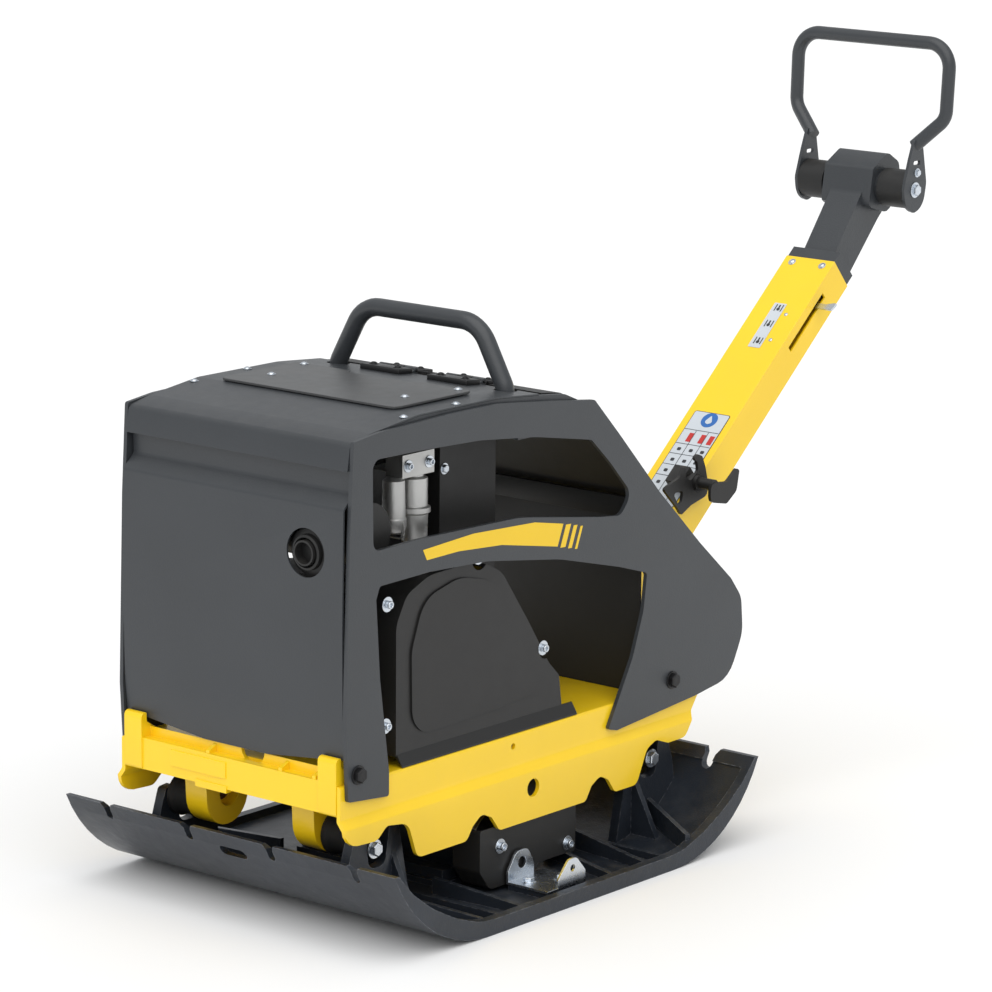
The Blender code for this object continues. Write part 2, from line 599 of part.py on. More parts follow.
side_outline = [(-0.380, 0.205, 0.004), (-0.299, 0.197, 0.004), (-0.299, 0.230, 0.020), (-0.318, 0.360, 0.100),
                (-0.326, 0.468), (-0.319, 0.485, 0.006), (-0.218, 0.487, 0.080), (-0.100, 0.481, 0.150),
                (0.056, 0.457, 0.250), (0.190, 0.423, 0.250), (0.252, 0.404, 0.006), (0.245, 0.350, 0.080),
                (0.222, 0.287, 0.080), (0.169, 0.193, 0.003), (0.1885, 0.188, 0.003), (0.250, 0.193, 0.05),
                (0.370, 0.203, 0.050), (0.450, 0.214, 0.050), (0.481, 0.276, 0.050), (0.476, 0.330, 0.035),
                (0.450, 0.362, 0.030), (0.374, 0.427, 0.100), (0.278, 0.516, 0.100), (0.185, 0.612, 0.100),
                (0.128, 0.669, 0.008), (0.030, 0.6815, 0.200), (-0.080, 0.6935, 0.200), (-0.180, 0.694, 0.200),
                (-0.320, 0.690, 0.100), (-0.371, 0.684, 0.004), (-0.378, 0.560, 0.200), (-0.3855, 0.298, 0.050),
                (-0.382, 0.240, 0.050)]
window = [(-0.334, 0.655, 0.014), (-0.240, 0.6535, 0.100), (-0.118, 0.649, 0.300), (0.000, 0.636, 0.300),
          (0.122, 0.614, 0.014), (0.164, 0.576, 0.030), (0.214, 0.524, 0.018), (0.190, 0.4965, 0.018),
          (0.143, 0.502, 0.100), (-0.032, 0.530, 0.300), (-0.239, 0.535, 0.300), (-0.332, 0.533, 0.012)]
for hand, side in (("left", 1), ("right", -1)):
    low, high = sorted((side * SIDE_INNER, side * SIDE_OUTER))
    own(sheet([outline(*side_outline, steps=4), outline(*window, steps=5)], low, high, SIDE_VIEW),
        f"side_plate_{hand}", GREY)

# ---- upper mass: roof, front panel and rear wall ------------------------------------------

roof_thickness = 0.003
roof_line = [(-0.3765, 0.645), (-0.3705, 0.681, 0.010), (-0.330, 0.689, 0.060), (-0.235, 0.7005, 0.060),
             (-0.075, 0.7000, 0.200), (FLAP_HINGE_Y - 0.0095, 0.6925)]
roof_inner = [(y + (roof_thickness if index < 1 else 0.0006), z - (0 if index < 1 else roof_thickness), *rest)
              for index, (y, z, *rest) in enumerate(roof_line)]
roof_inner[1] = (-0.3675, 0.6785, 0.007)
roof_cover = own(sheet([outline(*(roof_line + roof_inner[::-1]), steps=3)], -0.1982, 0.1982, SIDE_VIEW),
                 "roof_cover", GREY)
for side in (-1, 1):
    cut(roof_cover, cylinder((side * 0.1515, 0.0, 0), 0.0165, 0.66, 0.72, "Z", 20))

access_outline = outline((-0.158, -0.236, 0.012), (0.158, -0.236, 0.012), (0.158, -0.078, 0.008),
                         (0.060, -0.078, 0.004), (0.055, -0.088, 0.004), (-0.055, -0.088, 0.004),
                         (-0.060, -0.078, 0.004), (-0.158, -0.078, 0.008))
access_place = Matrix.Translation((0, 0, 0.0009))
own(sheet([access_outline], 0.7005, 0.7040, access_place), "access_plate", ACCESS_GREY)

panel_half = 0.1975
panel_line = [(-0.3640, 0.6430), (-0.3625, 0.6150, 0.006), (-0.3830, 0.5960, 0.008), (-0.3850, 0.4300, 0.300),
              (-0.3830, 0.3000, 0.300), (-0.3760, 0.2435)]
panel_back = [(-0.3610, 0.6430), (-0.3595, 0.6140, 0.006), (-0.3800, 0.5945, 0.006), (-0.3820, 0.4300, 0.300),
              (-0.3800, 0.3000, 0.300), (-0.3732, 0.2435)]
front_panel = own(sheet([outline(*(panel_line + panel_back[::-1]), steps=3)], -panel_half, panel_half,
                        SIDE_VIEW), "front_panel", GREY)
cut(front_panel, cylinder((PIPE_X, 0, PIPE_Z), 0.033, -0.40, -0.36, "Y", 32))
for side in (-1, 1):
    corner = [(side * 0.25, 0.23), (side * 0.25, 0.268), (side * 0.190, 0.259), (side * 0.060, 0.244),
              (side * 0.060, 0.23)]
    cut(front_panel, sheet([corner], -0.40, -0.36, FRONT_VIEW))

rear_wall = own(box((-0.1900, 0.2560, DECK_TOP + GAP), (0.1900, 0.2590, 0.498)), "rear_wall", BLACK_STEEL)
join(rear_wall, box((-0.1900, 0.2590 - 0.001, DECK_TOP + GAP), (0.1900, 0.275, DECK_TOP + 0.0033)))
join(rear_wall, box((-0.1900, 0.2590 - 0.001, 0.4950), (0.1900, 0.270, 0.498)))

# rear service flap: it follows the plates' rear slope and turns up about its front edge on two hinges
flap_top = [(FLAP_HINGE_Y + 0.0060, 0.6905), (0.0700, 0.6855, 0.030), (0.1290, 0.6610, 0.040), (0.1850, 0.6040, 0.080),
            (0.2600, 0.5050)]
flap_low = [(FLAP_HINGE_Y + 0.0060, 0.6865), (0.0690, 0.6815, 0.030), (0.1265, 0.6575, 0.040), (0.1820, 0.6012, 0.080),
            (0.2568, 0.5026)]
service_flap = own(sheet([outline(*(flap_top + flap_low[::-1]), steps=4)], -0.1895, 0.1895, SIDE_VIEW),
                   "service_flap", BLACK_PLASTIC)
knuckle_bore = 0.0022
knuckle_radius = 0.0052
hinge_x = 0.061
for centre in (-hinge_x, hinge_x):
    knuckle = ring((0, FLAP_HINGE_Y, FLAP_HINGE_Z), knuckle_radius, knuckle_bore, centre - 0.012, centre + 0.012,
                   steps=12)
    arm = sheet([[(FLAP_HINGE_Y + 0.0030, 0.6925), (FLAP_HINGE_Y + 0.0120, 0.6875), (FLAP_HINGE_Y + 0.0120, 0.6895),
                  (FLAP_HINGE_Y + 0.0040, 0.6965)]], centre - 0.012, centre + 0.012, SIDE_VIEW)
    join(service_flap, knuckle, arm)
    for low, high in ((centre - 0.0330, centre - 0.0130), (centre + 0.0130, centre + 0.0330)):
        knuckle = ring((0, FLAP_HINGE_Y, FLAP_HINGE_Z), knuckle_radius, knuckle_bore, low, high, steps=12)
        arm = sheet([[(FLAP_HINGE_Y - 0.0130, 0.6900), (FLAP_HINGE_Y - 0.0030, 0.6915),
                      (FLAP_HINGE_Y - 0.0035, 0.6965), (FLAP_HINGE_Y - 0.0130, 0.6925)]], low, high, SIDE_VIEW)
        join(roof_cover, knuckle, arm)
own(cylinder((0, FLAP_HINGE_Y, FLAP_HINGE_Z), knuckle_bore - GAP, -0.0970, 0.0970, sides=12), "flap_hinge_pin",
    BLACK_STEEL)

# ---- upper mass: lifting bail -------------------------------------------------------------

bail_half = [((0.1930, 0.0, 0.6520), 0), ((0.1560, 0.0, 0.6600), 0.020), ((0.1500, 0.0, 0.6980), 0.030),
             ((0.1040, 0.0, 0.7810), 0.050)]
bail_path = [((-x, y, z), radius) for (x, y, z), radius in bail_half] + bail_half[::-1]
lifting_bail = own(tube(rounded(bail_path, closed=False, steps=4), BAIL_TUBE_RADIUS, 3), "lifting_bail", GREY)
for side in (-1, 1):
    low, high = sorted((side * 0.1895, side * (SIDE_INNER - GAP)))
    join(lifting_bail, box((low, -0.030, 0.6350), (high, 0.030, 0.6680)))

# ---- engine -------------------------------------------------------------------------------

crankcase = own(box((-0.060, -0.225, DECK_TOP + GAP), (0.100, -0.015, 0.400)), "crankcase", ALUMINIUM)
cut(crankcase, cylinder((0, CRANK_Y, CRANK_Z), CRANK_RADIUS + 0.0005, -0.10, 0.13))
cut(crankcase, cylinder((0, CRANK_Y, CRANK_Z), 0.070, -0.048, 0.088))
cut(crankcase, box((-0.040, -0.170, 0.36), (0.080, -0.070, 0.42)))
cylinder_head = own(box((-0.045, -0.200, 0.400 + GAP), (0.080, -0.040, 0.610)), "cylinder_head", ALUMINIUM)
cut(cylinder_head, cylinder((0.018, CRANK_Y, 0), 0.040, 0.39, 0.54, "Z", 20))
for level in range(6):
    fin_gap = 0.420 + 0.024 * level
    cut(cylinder_head, box((-0.060, -0.215, fin_gap), (0.095, -0.186, fin_gap + 0.010)))
    cut(cylinder_head, box((-0.060, -0.054, fin_gap), (0.095, -0.020, fin_gap + 0.010)))

crankshaft = own(cylinder((0, CRANK_Y, CRANK_Z), CRANK_RADIUS, -0.138, 0.176, sides=20), "crankshaft", STEEL)
crank_web = outline((CRANK_Y - 0.022, CRANK_Z + 0.018, 0.015), (CRANK_Y + 0.022, CRANK_Z + 0.018, 0.015),
                    (CRANK_Y + 0.050, CRANK_Z - 0.030, 0.010), (CRANK_Y - 0.050, CRANK_Z - 0.030, 0.010))
for low in (-0.025, 0.045):
    join(crankshaft, sheet([crank_web], low, low + 0.018, SIDE_VIEW))

flywheel_fan = own(ring((0, CRANK_Y, CRANK_Z), 0.078, CRANK_RADIUS + GAP, -0.128, -0.112, steps=20),
                   "flywheel_fan", ALUMINIUM)
for blade in range(10):
    angle = math.radians(36 * blade)
    spin = Matrix.Translation((0, CRANK_Y, CRANK_Z)) @ Matrix.Rotation(angle, 4, "X")
    join(flywheel_fan, box((-0.1125, -0.0015, 0.045), (-0.094, 0.0015, 0.074), spin))

shroud_profile = [(0.050, -0.140), (0.086, -0.140), (0.086, -0.064), (0.083, -0.064), (0.083, -0.137),
                  (0.050, -0.137)]
fan_shroud = own(turned([(r, x) for r, x in reversed(shroud_profile)], (0, CRANK_Y, CRANK_Z), 24, closed=True),
                 "fan_shroud", BLACK_STEEL)
recoil_profile = [(0.012, -0.187), (0.070, -0.187), (0.076, -0.181), (0.076, -0.1405), (0.073, -0.1405),
                  (0.073, -0.180), (0.069, -0.184), (0.012, -0.184)]
recoil_housing = own(turned([(r, x) for r, x in reversed(recoil_profile)], (0, CRANK_Y, CRANK_Z), 24, closed=True),
                     "recoil_housing", BLACK_PLASTIC)
grip_y, grip_z = CRANK_Y + 0.052, CRANK_Z + 0.010
cut(recoil_housing, cylinder((0, grip_y, grip_z), 0.004, -0.20, -0.17, sides=12))
starter_grip = own(cylinder((0, grip_y, grip_z), 0.0035, -0.1950, -0.1780, sides=12), "starter_grip", BLACK_PLASTIC)
grip_bar = tube([(-0.1935, grip_y, grip_z - 0.032), (-0.1935, grip_y, grip_z + 0.032)], 0.0052, 2)
join(starter_grip, grip_bar)

air_duct = own(box((0.0850, -0.104, 0.4300), (0.1240, 0.014, 0.652)), "air_duct", BLACK_STEEL)
cut(air_duct, box((0.0800, -0.101, 0.4200), (0.1210, 0.011, 0.649)))

muffler = own(cylinder((0, -0.300, 0.545), 0.043, -0.060, 0.170, sides=20), "muffler", BLACK_STEEL)
muffler_pipe = ring((PIPE_X, 0, PIPE_Z), 0.0172, 0.0147, -0.3880, -0.3200, "Y", 24)
join(muffler, muffler_pipe)
cut(muffler, cylinder((PIPE_X, 0, PIPE_Z), 0.0147, -0.40, -0.32, "Y", 24))

air_filter = own(box((-0.175, -0.345, 0.500), (-0.075, -0.215, 0.672)), "air_filter", BLACK_PLASTIC)
bevel(air_filter, 0.012, 2)
cut(air_filter, cylinder((0, -0.280, 0.560), 0.020, -0.09, -0.05, sides=20))

filter_x, filter_y = 0.135, -0.170
filter_profile = [(0, 0.606), (0.013, 0.606), (0.013, 0.600), (0.0185, 0.598), (0.0185, 0.560), (0.0225, 0.558),
                  (0.0225, 0.551), (0.0190, 0.549), (0.0180, 0.514), (0.012, 0.502), (0, 0.502)]
fuel_filter = own(turned(filter_profile, (filter_x, filter_y, 0), 20, "Z"), "fuel_filter", ALUMINIUM)
join(fuel_filter, box((filter_x - 0.015, -0.211, 0.6030), (filter_x + 0.015, -0.146, 0.6350)),
     box((0.0803, -0.192, 0.6045), (filter_x - 0.012, -0.150, 0.6090)))

fuel_tank = own(box((-0.188, 0.000, 0.500), (-0.060, 0.122, 0.640)), "fuel_tank", BLACK_PLASTIC)
bevel(fuel_tank, 0.014, 2)
join(fuel_tank, ring((-0.124, 0.062, 0), 0.021, 0.016, 0.6200, 0.6500, "Z", 20))
cut(fuel_tank, cylinder((-0.124, 0.062, 0), 0.016, 0.520, 0.70, "Z", 20))
cap_profile = [(0, 0.6640), (0.024, 0.6640), (0.026, 0.6620), (0.026, 0.6440), (0.0225, 0.6440), (0.0225, 0.6520),
               (0, 0.6520)]
own(turned(cap_profile, (-0.124, 0.062, 0), 20, "Z"), "fuel_cap", BLACK_PLASTIC)

# ---- belt guard ---------------------------------------------------------------------------

guard_outline = outline((-0.266, 0.240), (-0.2665, 0.420, 0.040), (-0.245, 0.458, 0.030), (-0.200, 0.4765, 0.060),
                        (-0.098, 0.4795, 0.060), (-0.048, 0.4550, 0.050), (0.011, 0.374, 0.150), (0.056, 0.308, 0.050),
                        (0.078, 0.287, 0.010), (0.085, 0.240), steps=4)
guard_hollow = [(y * 0.972 - 0.0025, (z - 0.24) * 0.975 + 0.240) for y, z, _ in guard_outline]
guard_hollow = [(y, z if z > 0.2401 else 0.20) for y, z in guard_hollow]
belt_guard = own(sheet([[tuple(p[:2]) for p in guard_outline]], 0.1250, 0.1880, SIDE_VIEW), "belt_guard",
                 BLACK_PLASTIC)
guard_flange = [(0.1865, 0.243), (0.1882, 0.243), (0.1975, 0.2285), (0.1975, 0.2264), (0.1855, 0.2390)]
join(belt_guard, sheet([guard_flange], -0.264, 0.107, FRONT_VIEW))
cut(belt_guard, sheet([guard_hollow], 0.110, 0.1850, SIDE_VIEW))
for y, z in ((-0.2815, 0.448), (-0.2845, 0.286), (-0.095, 0.482), (0.049, 0.332)):
    cut(belt_guard, cylinder((0, y, z), 0.0165, 0.100, 0.200, sides=24))

# ---- mast ---------------------------------------------------------------------------------

mast_start = -0.015
mast_tube = own(box((-MAST_HALF_WIDTH, mast_start, -MAST_HALF_DEPTH), (MAST_HALF_WIDTH, MAST_END, MAST_HALF_DEPTH),
                    MAST), "mast_tube", YELLOW)
inner_width, inner_depth = MAST_HALF_WIDTH - MAST_WALL, MAST_HALF_DEPTH - MAST_WALL
cut(mast_tube, box((-inner_width, mast_start - 0.02, -inner_depth), (inner_width, MAST_END + 0.02, inner_depth), MAST))
cut(mast_tube, cylinder(MAST_PIVOT, MAST_PIN_RADIUS + GAP, -0.07, 0.07, sides=20))
slot_s = (0.556, 0.668)
cut(mast_tube, box((0.030, slot_s[0], 0.0020), (0.060, slot_s[1], 0.0120), MAST))
own(cylinder(MAST_PIVOT, MAST_PIN_RADIUS, -0.0600, 0.0600, sides=20), "mast_pivot_pin", ZINC)

neck_profile = outline((0.925, 0.7420), (1.004, 0.8440, 0.020), (1.0130, 0.8820, 0.006), (1.0500, 0.9020, 0.010),
                       (1.0790, 0.8850, 0.012), (1.0850, 0.8320, 0.020), (1.0480, 0.7980, 0.030), (0.974, 0.7185))
mast_neck = own(sheet([neck_profile], -0.029, 0.029, SIDE_VIEW), "mast_neck", GREY)
head_profile = outline((1.0008, 0.8240, 0.010), (1.0108, 0.8824, 0.006), (1.0500, 0.9034, 0.010),
                       (1.0802, 0.8858, 0.012), (1.0862, 0.8390, 0.020), (1.0500, 0.8105, 0.016))
join(mast_neck, sheet([head_profile], -0.045, 0.045, SIDE_VIEW))
for side in (-1, 1):
    low, high = sorted((side * 0.044, side * 0.0500))
    join(mast_neck, cylinder((0, HUB_Y, HUB_Z), 0.0245, low, high, sides=28))
collar_end = MAST_END + 0.020
join(mast_neck, box((-0.0435, MAST_END + GAP, -0.0262), (0.0435, collar_end, 0.0262), MAST))
join(mast_neck, box((-0.0405, 0.6800, -0.0232), (0.0405, MAST_END + 0.004, 0.0232), MAST))
cut(mast_neck, cylinder((0, HUB_Y, HUB_Z), 0.0105, -0.08, 0.08, sides=24))

# ---- mast latch ---------------------------------------------------------------------------

latch_plate = outline((0.5505, 0.5010, 0.003), (0.5610, 0.5065, 0.004), (0.5720, 0.5020, 0.004),
                      (0.5800, 0.4850, 0.030), (0.5870, 0.4600, 0.010), (0.5870, 0.4410, 0.010),
                      (0.5470, 0.4320, 0.012), (0.5235, 0.4210, 0.003), (0.5128, 0.4335, 0.010),
                      (0.4800, 0.4655, 0.003), (0.4910, 0.4700, 0.005), (0.5180, 0.4775, 0.012),
                      (0.5265, 0.4925, 0.003), (0.5350, 0.4915, 0.003), (0.5325, 0.4765, 0.006),
                      (0.5440, 0.4690, 0.006), (0.5630, 0.4810, 0.006), (0.5600, 0.4950, 0.004))
latch_window = outline((0.5030, 0.4560, 0.003), (0.5270, 0.4575, 0.004), (0.5240, 0.4400, 0.004),
                       (0.5160, 0.4370, 0.003))
mast_latch = own(sheet([latch_plate, latch_window], 0.0530, 0.0580, SIDE_VIEW), "mast_latch", BLACK_STEEL)
join(mast_latch, cylinder((0, LATCH_Y, LATCH_Z), 0.0125, 0.0490, 0.0640, sides=20))
join(mast_latch, cylinder((0, LATCH_Y, LATCH_Z), 0.0085, 0.0100, 0.0900, sides=20))
latch_pedal = outline((0.6130, 0.4820, 0.004), (0.6200, 0.4780, 0.003), (0.6140, 0.4480, 0.010),
                      (0.5900, 0.4320, 0.008), (0.5500, 0.4400, 0.010), (0.5500, 0.4700, 0.010),
                      (0.5900, 0.4650, 0.010))
join(mast_latch, sheet([latch_pedal], 0.0860, 0.0910, SIDE_VIEW))
latch_s = (LATCH_Y - MAST_PIVOT.y) * math.cos(MAST_ANGLE) + (LATCH_Z - MAST_PIVOT.z) * math.sin(MAST_ANGLE)
latch_n = (LATCH_Z - MAST_PIVOT.z) * math.cos(MAST_ANGLE) - (LATCH_Y - MAST_PIVOT.y) * math.sin(MAST_ANGLE)
latch_bracket = own(box((0.0140, latch_s - 0.016, MAST_HALF_DEPTH + GAP), (0.0420, latch_s + 0.016, latch_n + 0.014),
                        MAST), "latch_bracket", BLACK_STEEL)
cut(latch_bracket, cylinder((0, LATCH_Y, LATCH_Z), 0.0088, 0.0, 0.05, sides=20))

# ---- throttle lever -----------------------------------------------------------------------

lever_s, lever_n = 0.645, 0.0070
lever_blade = outline((-0.010, lever_s - 0.007, 0.006), (0.050, lever_s - 0.004), (0.074, lever_s - 0.004, 0.003),
                      (0.078, lever_s + 0.012, 0.003), (0.060, lever_s + 0.006, 0.004), (-0.010, lever_s + 0.007, 0.006))
lever_place = MAST @ Matrix.Translation((0, 0, lever_n))
throttle_lever = own(sheet([lever_blade], -0.0015, 0.0015, lever_place), "throttle_lever", ZINC)
lever_post = cylinder((-0.002, lever_s, 0), 0.0045, 0.0008, inner_depth - lever_n - 0.0006, "Z", 16, lever_place)
join(throttle_lever, lever_post)

# ---- control loop -------------------------------------------------------------------------

arm_outline = outline((1.0110, 0.8560, 0.020), (1.0170, 0.8170, 0.030), (1.0620, 0.8170, 0.030),
                      (1.0710, 0.8600, 0.030), (1.0620, 0.9050, 0.010), (1.0570, 0.9290, 0.006),
                      (1.0370, 0.9290, 0.006), (1.0250, 0.8980, 0.030))
arm_slot = outline((1.0350, 0.8900, 0.003), (1.0530, 0.8900, 0.003), (1.0530, 0.8965, 0.003), (1.0350, 0.8965, 0.003))
loop_half = [((0.0950, 1.0470, 0.9180), 0), ((0.1400, 1.0635, 0.9620), 0.030), ((0.1415, 1.0690, 1.0748), 0.038)]
loop_path = [((-x, y, z), radius) for (x, y, z), radius in loop_half] + loop_half[::-1]
control_loop = own(tube(rounded(loop_path, closed=False, steps=4), LOOP_TUBE_RADIUS), "control_loop", GREY)
for hand, side in (("left", 1), ("right", -1)):
    low, high = sorted((side * 0.0978, side * 0.1028))
    join(control_loop, sheet([arm_outline, arm_slot], low, high, SIDE_VIEW))
    low, high = sorted((side * 0.0508, side * 0.0975))
    own(ring((0, HUB_Y, HUB_Z), 0.0295, 0.0103, low, high, steps=36), f"hub_drum_{hand}", BLACK_PLASTIC)
own(cylinder((0, HUB_Y, HUB_Z), 0.0100, -0.0975, 0.0975, sides=24), "loop_shaft", ZINC)

# ---- joint axes ---------------------------------------------------------------------------


def on_axis(name, place, *children):
    """An empty on a joint's axis that carries the pieces turning or sliding with it."""
    empty = bpy.data.objects.new(name, None)
    empty.empty_display_size = 0.05
    empty.location = place
    machine.objects.link(empty)
    bpy.context.view_layer.update()
    for child in children:
        piece = bpy.data.objects[child]
        world = piece.matrix_world.copy()
        piece.parent = empty
        piece.matrix_world = world
    return empty


on_axis("front_shaft_axis", (0, -EXCITER_HALF_PITCH, EXCITER_Z), "eccentric_shaft_front", "exciter_gear_front",
        "exciter_pulley")
on_axis("rear_shaft_axis", (0, EXCITER_HALF_PITCH, EXCITER_Z), "eccentric_shaft_rear", "exciter_gear_rear")
on_axis("crank_axis", (0, CRANK_Y, CRANK_Z), "crankshaft", "clutch_pulley", "flywheel_fan")
on_axis("flap_axis", (0, FLAP_HINGE_Y, FLAP_HINGE_Z), "service_flap")
on_axis("mast_axis", MAST_PIVOT, "mast_tube", "mast_neck", "latch_bracket")
on_axis("latch_axis", (0, LATCH_Y, LATCH_Z), "mast_latch")
on_axis("throttle_axis", MAST @ Vector((-0.002, lever_s, lever_n)), "throttle_lever")
on_axis("loop_axis", (0, HUB_Y, HUB_Z), "control_loop", "hub_drum_left", "hub_drum_right", "loop_shaft")
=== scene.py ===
"""The looks of a reversible plate compactor, built round its fixed frame.

Metres, +Z up. The machine's front faces -Y, its left side is +X, and the drawbar points to +Y.
"""

import json
import math

import bpy
from mathutils import Matrix, Vector

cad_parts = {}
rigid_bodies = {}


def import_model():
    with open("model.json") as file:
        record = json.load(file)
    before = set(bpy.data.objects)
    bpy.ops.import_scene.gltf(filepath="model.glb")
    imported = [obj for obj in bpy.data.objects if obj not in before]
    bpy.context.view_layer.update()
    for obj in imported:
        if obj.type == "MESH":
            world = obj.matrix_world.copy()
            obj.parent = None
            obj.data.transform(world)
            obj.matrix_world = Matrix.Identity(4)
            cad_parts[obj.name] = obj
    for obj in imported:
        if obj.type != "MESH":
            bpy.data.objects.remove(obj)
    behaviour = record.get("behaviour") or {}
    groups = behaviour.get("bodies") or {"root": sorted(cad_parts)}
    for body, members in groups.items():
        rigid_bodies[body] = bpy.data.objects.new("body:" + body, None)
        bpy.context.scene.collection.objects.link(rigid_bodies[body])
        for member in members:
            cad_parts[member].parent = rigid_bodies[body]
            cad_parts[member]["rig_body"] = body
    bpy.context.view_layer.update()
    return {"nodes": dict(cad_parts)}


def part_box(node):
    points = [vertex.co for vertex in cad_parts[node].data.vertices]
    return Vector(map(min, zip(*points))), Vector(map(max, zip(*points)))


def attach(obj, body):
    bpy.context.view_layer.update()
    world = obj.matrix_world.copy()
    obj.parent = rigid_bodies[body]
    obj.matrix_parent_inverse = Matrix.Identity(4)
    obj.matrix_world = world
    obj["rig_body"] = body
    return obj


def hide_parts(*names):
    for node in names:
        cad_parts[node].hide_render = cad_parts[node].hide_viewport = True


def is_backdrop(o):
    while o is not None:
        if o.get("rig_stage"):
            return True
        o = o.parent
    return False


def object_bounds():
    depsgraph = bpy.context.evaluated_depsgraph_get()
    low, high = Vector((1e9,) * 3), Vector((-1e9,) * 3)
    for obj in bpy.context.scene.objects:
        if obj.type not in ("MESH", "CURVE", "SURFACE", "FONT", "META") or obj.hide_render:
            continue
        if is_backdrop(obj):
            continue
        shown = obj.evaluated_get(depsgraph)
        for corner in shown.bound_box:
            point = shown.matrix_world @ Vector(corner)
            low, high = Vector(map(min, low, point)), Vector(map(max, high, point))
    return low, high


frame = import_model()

# ---- base plate ---------------------------------------------------------------------------
# One cast skid with turned-up lips at both ends, notched for lashing hooks, with ribs and forked
# ears on its floor. Shot-blasted cast iron under a thin coat of blue-black paint.


class Signal:
    """One output in a finish's node tree. Operators on it add Math nodes, and node() any other node."""

    def __init__(self, tree, output=None):
        self.tree = tree
        self.output = output

    def node(self, kind, settings=(), inputs=(), result=0):
        made = self.tree.nodes.new("ShaderNode" + kind)
        for setting, value in dict(settings).items():
            if setting == "stops":
                for stop, (place, shade) in zip(made.color_ramp.elements, value):
                    stop.position = place
                    stop.color = (shade, shade, shade, 1.0)
            else:
                setattr(made, setting, value)
        for socket, value in dict(inputs).items():
            if isinstance(value, Signal):
                self.tree.links.new(value.output, made.inputs[socket])
            else:
                made.inputs[socket].default_value = value
        return Signal(self.tree, made.outputs[result])

    def maths(self, operation, first, second):
        return self.node("Math", {"operation": operation}, {0: first, 1: second})

    def __add__(self, other):
        return self.maths("ADD", self, other)

    __radd__ = __add__

    def __sub__(self, other):
        return self.maths("SUBTRACT", self, other)

    def __rsub__(self, other):
        return self.maths("SUBTRACT", other, self)

    def __mul__(self, other):
        return self.maths("MULTIPLY", self, other)

    __rmul__ = __mul__

    def noise(self, scale, detail=3.0, stretch=(1.0, 1.0, 1.0)):
        """Noise over the piece, with features about 1 / scale metres across."""
        place = self.node("TexCoord", result=3)
        if stretch != (1.0, 1.0, 1.0):
            place = self.node("Mapping", {}, {"Vector": place, "Scale": stretch})
        return self.node("TexNoise", {}, {"Vector": place, "Scale": scale, "Detail": detail})

    def band(self, low, high):
        """This value, spread so that low becomes 0 and high becomes 1."""
        return self.node("ValToRGB", {"stops": ((low, 0.0), (high, 1.0))}, {"Fac": self})

    def tint(self, first, second):
        """A colour that goes from the first to the second as this value goes from 0 to 1."""
        ends = [end if isinstance(end, Signal) else (*end, 1.0) for end in (first, second)]
        return self.node("Mix", {"data_type": "RGBA"}, {0: self, 6: ends[0], 7: ends[1]}, 2)


def finish(name, colour, roughness, metallic=0.0, drift=0.12, grain=(500.0, 0.00006), wave=(18.0, 0.0),
           polish=0.06, dust=0.0, coat=0.0, edge_wear_and_highlight=None, painted_glints=None, shine=0.5):
    """A surface finish: colour that drifts a little, uneven polish, fine grain and a slow waviness, with
    optional dust on what faces up, edges lightened by wear and painted highlight, and painted sparkle highlights."""
    material = bpy.data.materials.new(name)
    material.use_nodes = True
    tree = material.node_tree
    shader = tree.nodes["Principled BSDF"]
    start = Signal(tree)
    slow = start.noise(7.0, 4.0)
    fine = start.noise(grain[0], 4.0)
    dark = tuple(channel * (1.0 - drift) for channel in colour)
    light = tuple(min(1.0, channel * (1.0 + drift)) for channel in colour)
    shade = slow.band(0.30, 0.70).tint(dark, light)
    rough = start.noise(55.0, 5.0) * (2.0 * polish) + (roughness - polish)
    # painted sparkle highlights: noise spots mixed towards a lighter colour
    if painted_glints:
        glint_spots = start.noise(painted_glints[0], 2.0).band(0.58, 0.66)
        shade = (glint_spots * painted_glints[1]).tint(shade, painted_glints[2])
    if dust:
        facing = start.node("NewGeometry", result=1)
        upward = start.node("SeparateXYZ", {}, {0: facing}, 2).band(0.55, 0.98)
        film = upward * start.noise(38.0, 6.0).band(0.42, 0.74) * dust
        shade = film.tint(shade, (0.36, 0.33, 0.29))
        rough = rough + film * 0.5
    # edges lightened to another colour: partly wear, partly a painted highlight along the rims
    if edge_wear_and_highlight:
        rounded = start.node("Bevel", {"samples": 6}, {"Radius": edge_wear_and_highlight[0]})
        facing = start.node("NewGeometry", result=1)
        turn = start.node("VectorMath", {"operation": "DOT_PRODUCT"}, {0: rounded, 1: facing}, 1)
        edge = (1.0 - turn).band(0.012, 0.10) * start.noise(160.0, 5.0).band(0.42, 0.60)
        shade = (edge * edge_wear_and_highlight[1]).tint(shade, edge_wear_and_highlight[2])
    height = fine * grain[1] + start.noise(wave[0], 2.0) * wave[1]
    bump = start.node("Bump", {}, {"Height": height, "Distance": 1.0, "Strength": 1.0})
    tree.links.new(shade.output, shader.inputs["Base Color"])
    tree.links.new(rough.output, shader.inputs["Roughness"])
    tree.links.new(bump.output, shader.inputs["Normal"])
    shader.inputs["Metallic"].default_value = metallic
    shader.inputs["Coat Weight"].default_value = coat
    shader.inputs["Coat Roughness"].default_value = 0.12
    shader.inputs["Specular IOR Level"].default_value = shine
    return material


# blue-black cast iron whose rims are lightened to a bluish grey, partly as wear and partly as a painted highlight
cast_iron = finish("blue_black_casting", (0.020, 0.025, 0.034), 0.34, 0.20, drift=0.22, grain=(420.0, 0.00034),
                   wave=(45.0, 0.0008), polish=0.10, dust=0.08, edge_wear_and_highlight=(0.0022, 0.60, (0.19, 0.20, 0.225)))


def alone(*objects):
    """Selects only these objects, the last one active."""
    bpy.ops.object.select_all(action="DESELECT")
    for obj in objects:
        obj.select_set(True)
    bpy.context.view_layer.objects.active = objects[-1]


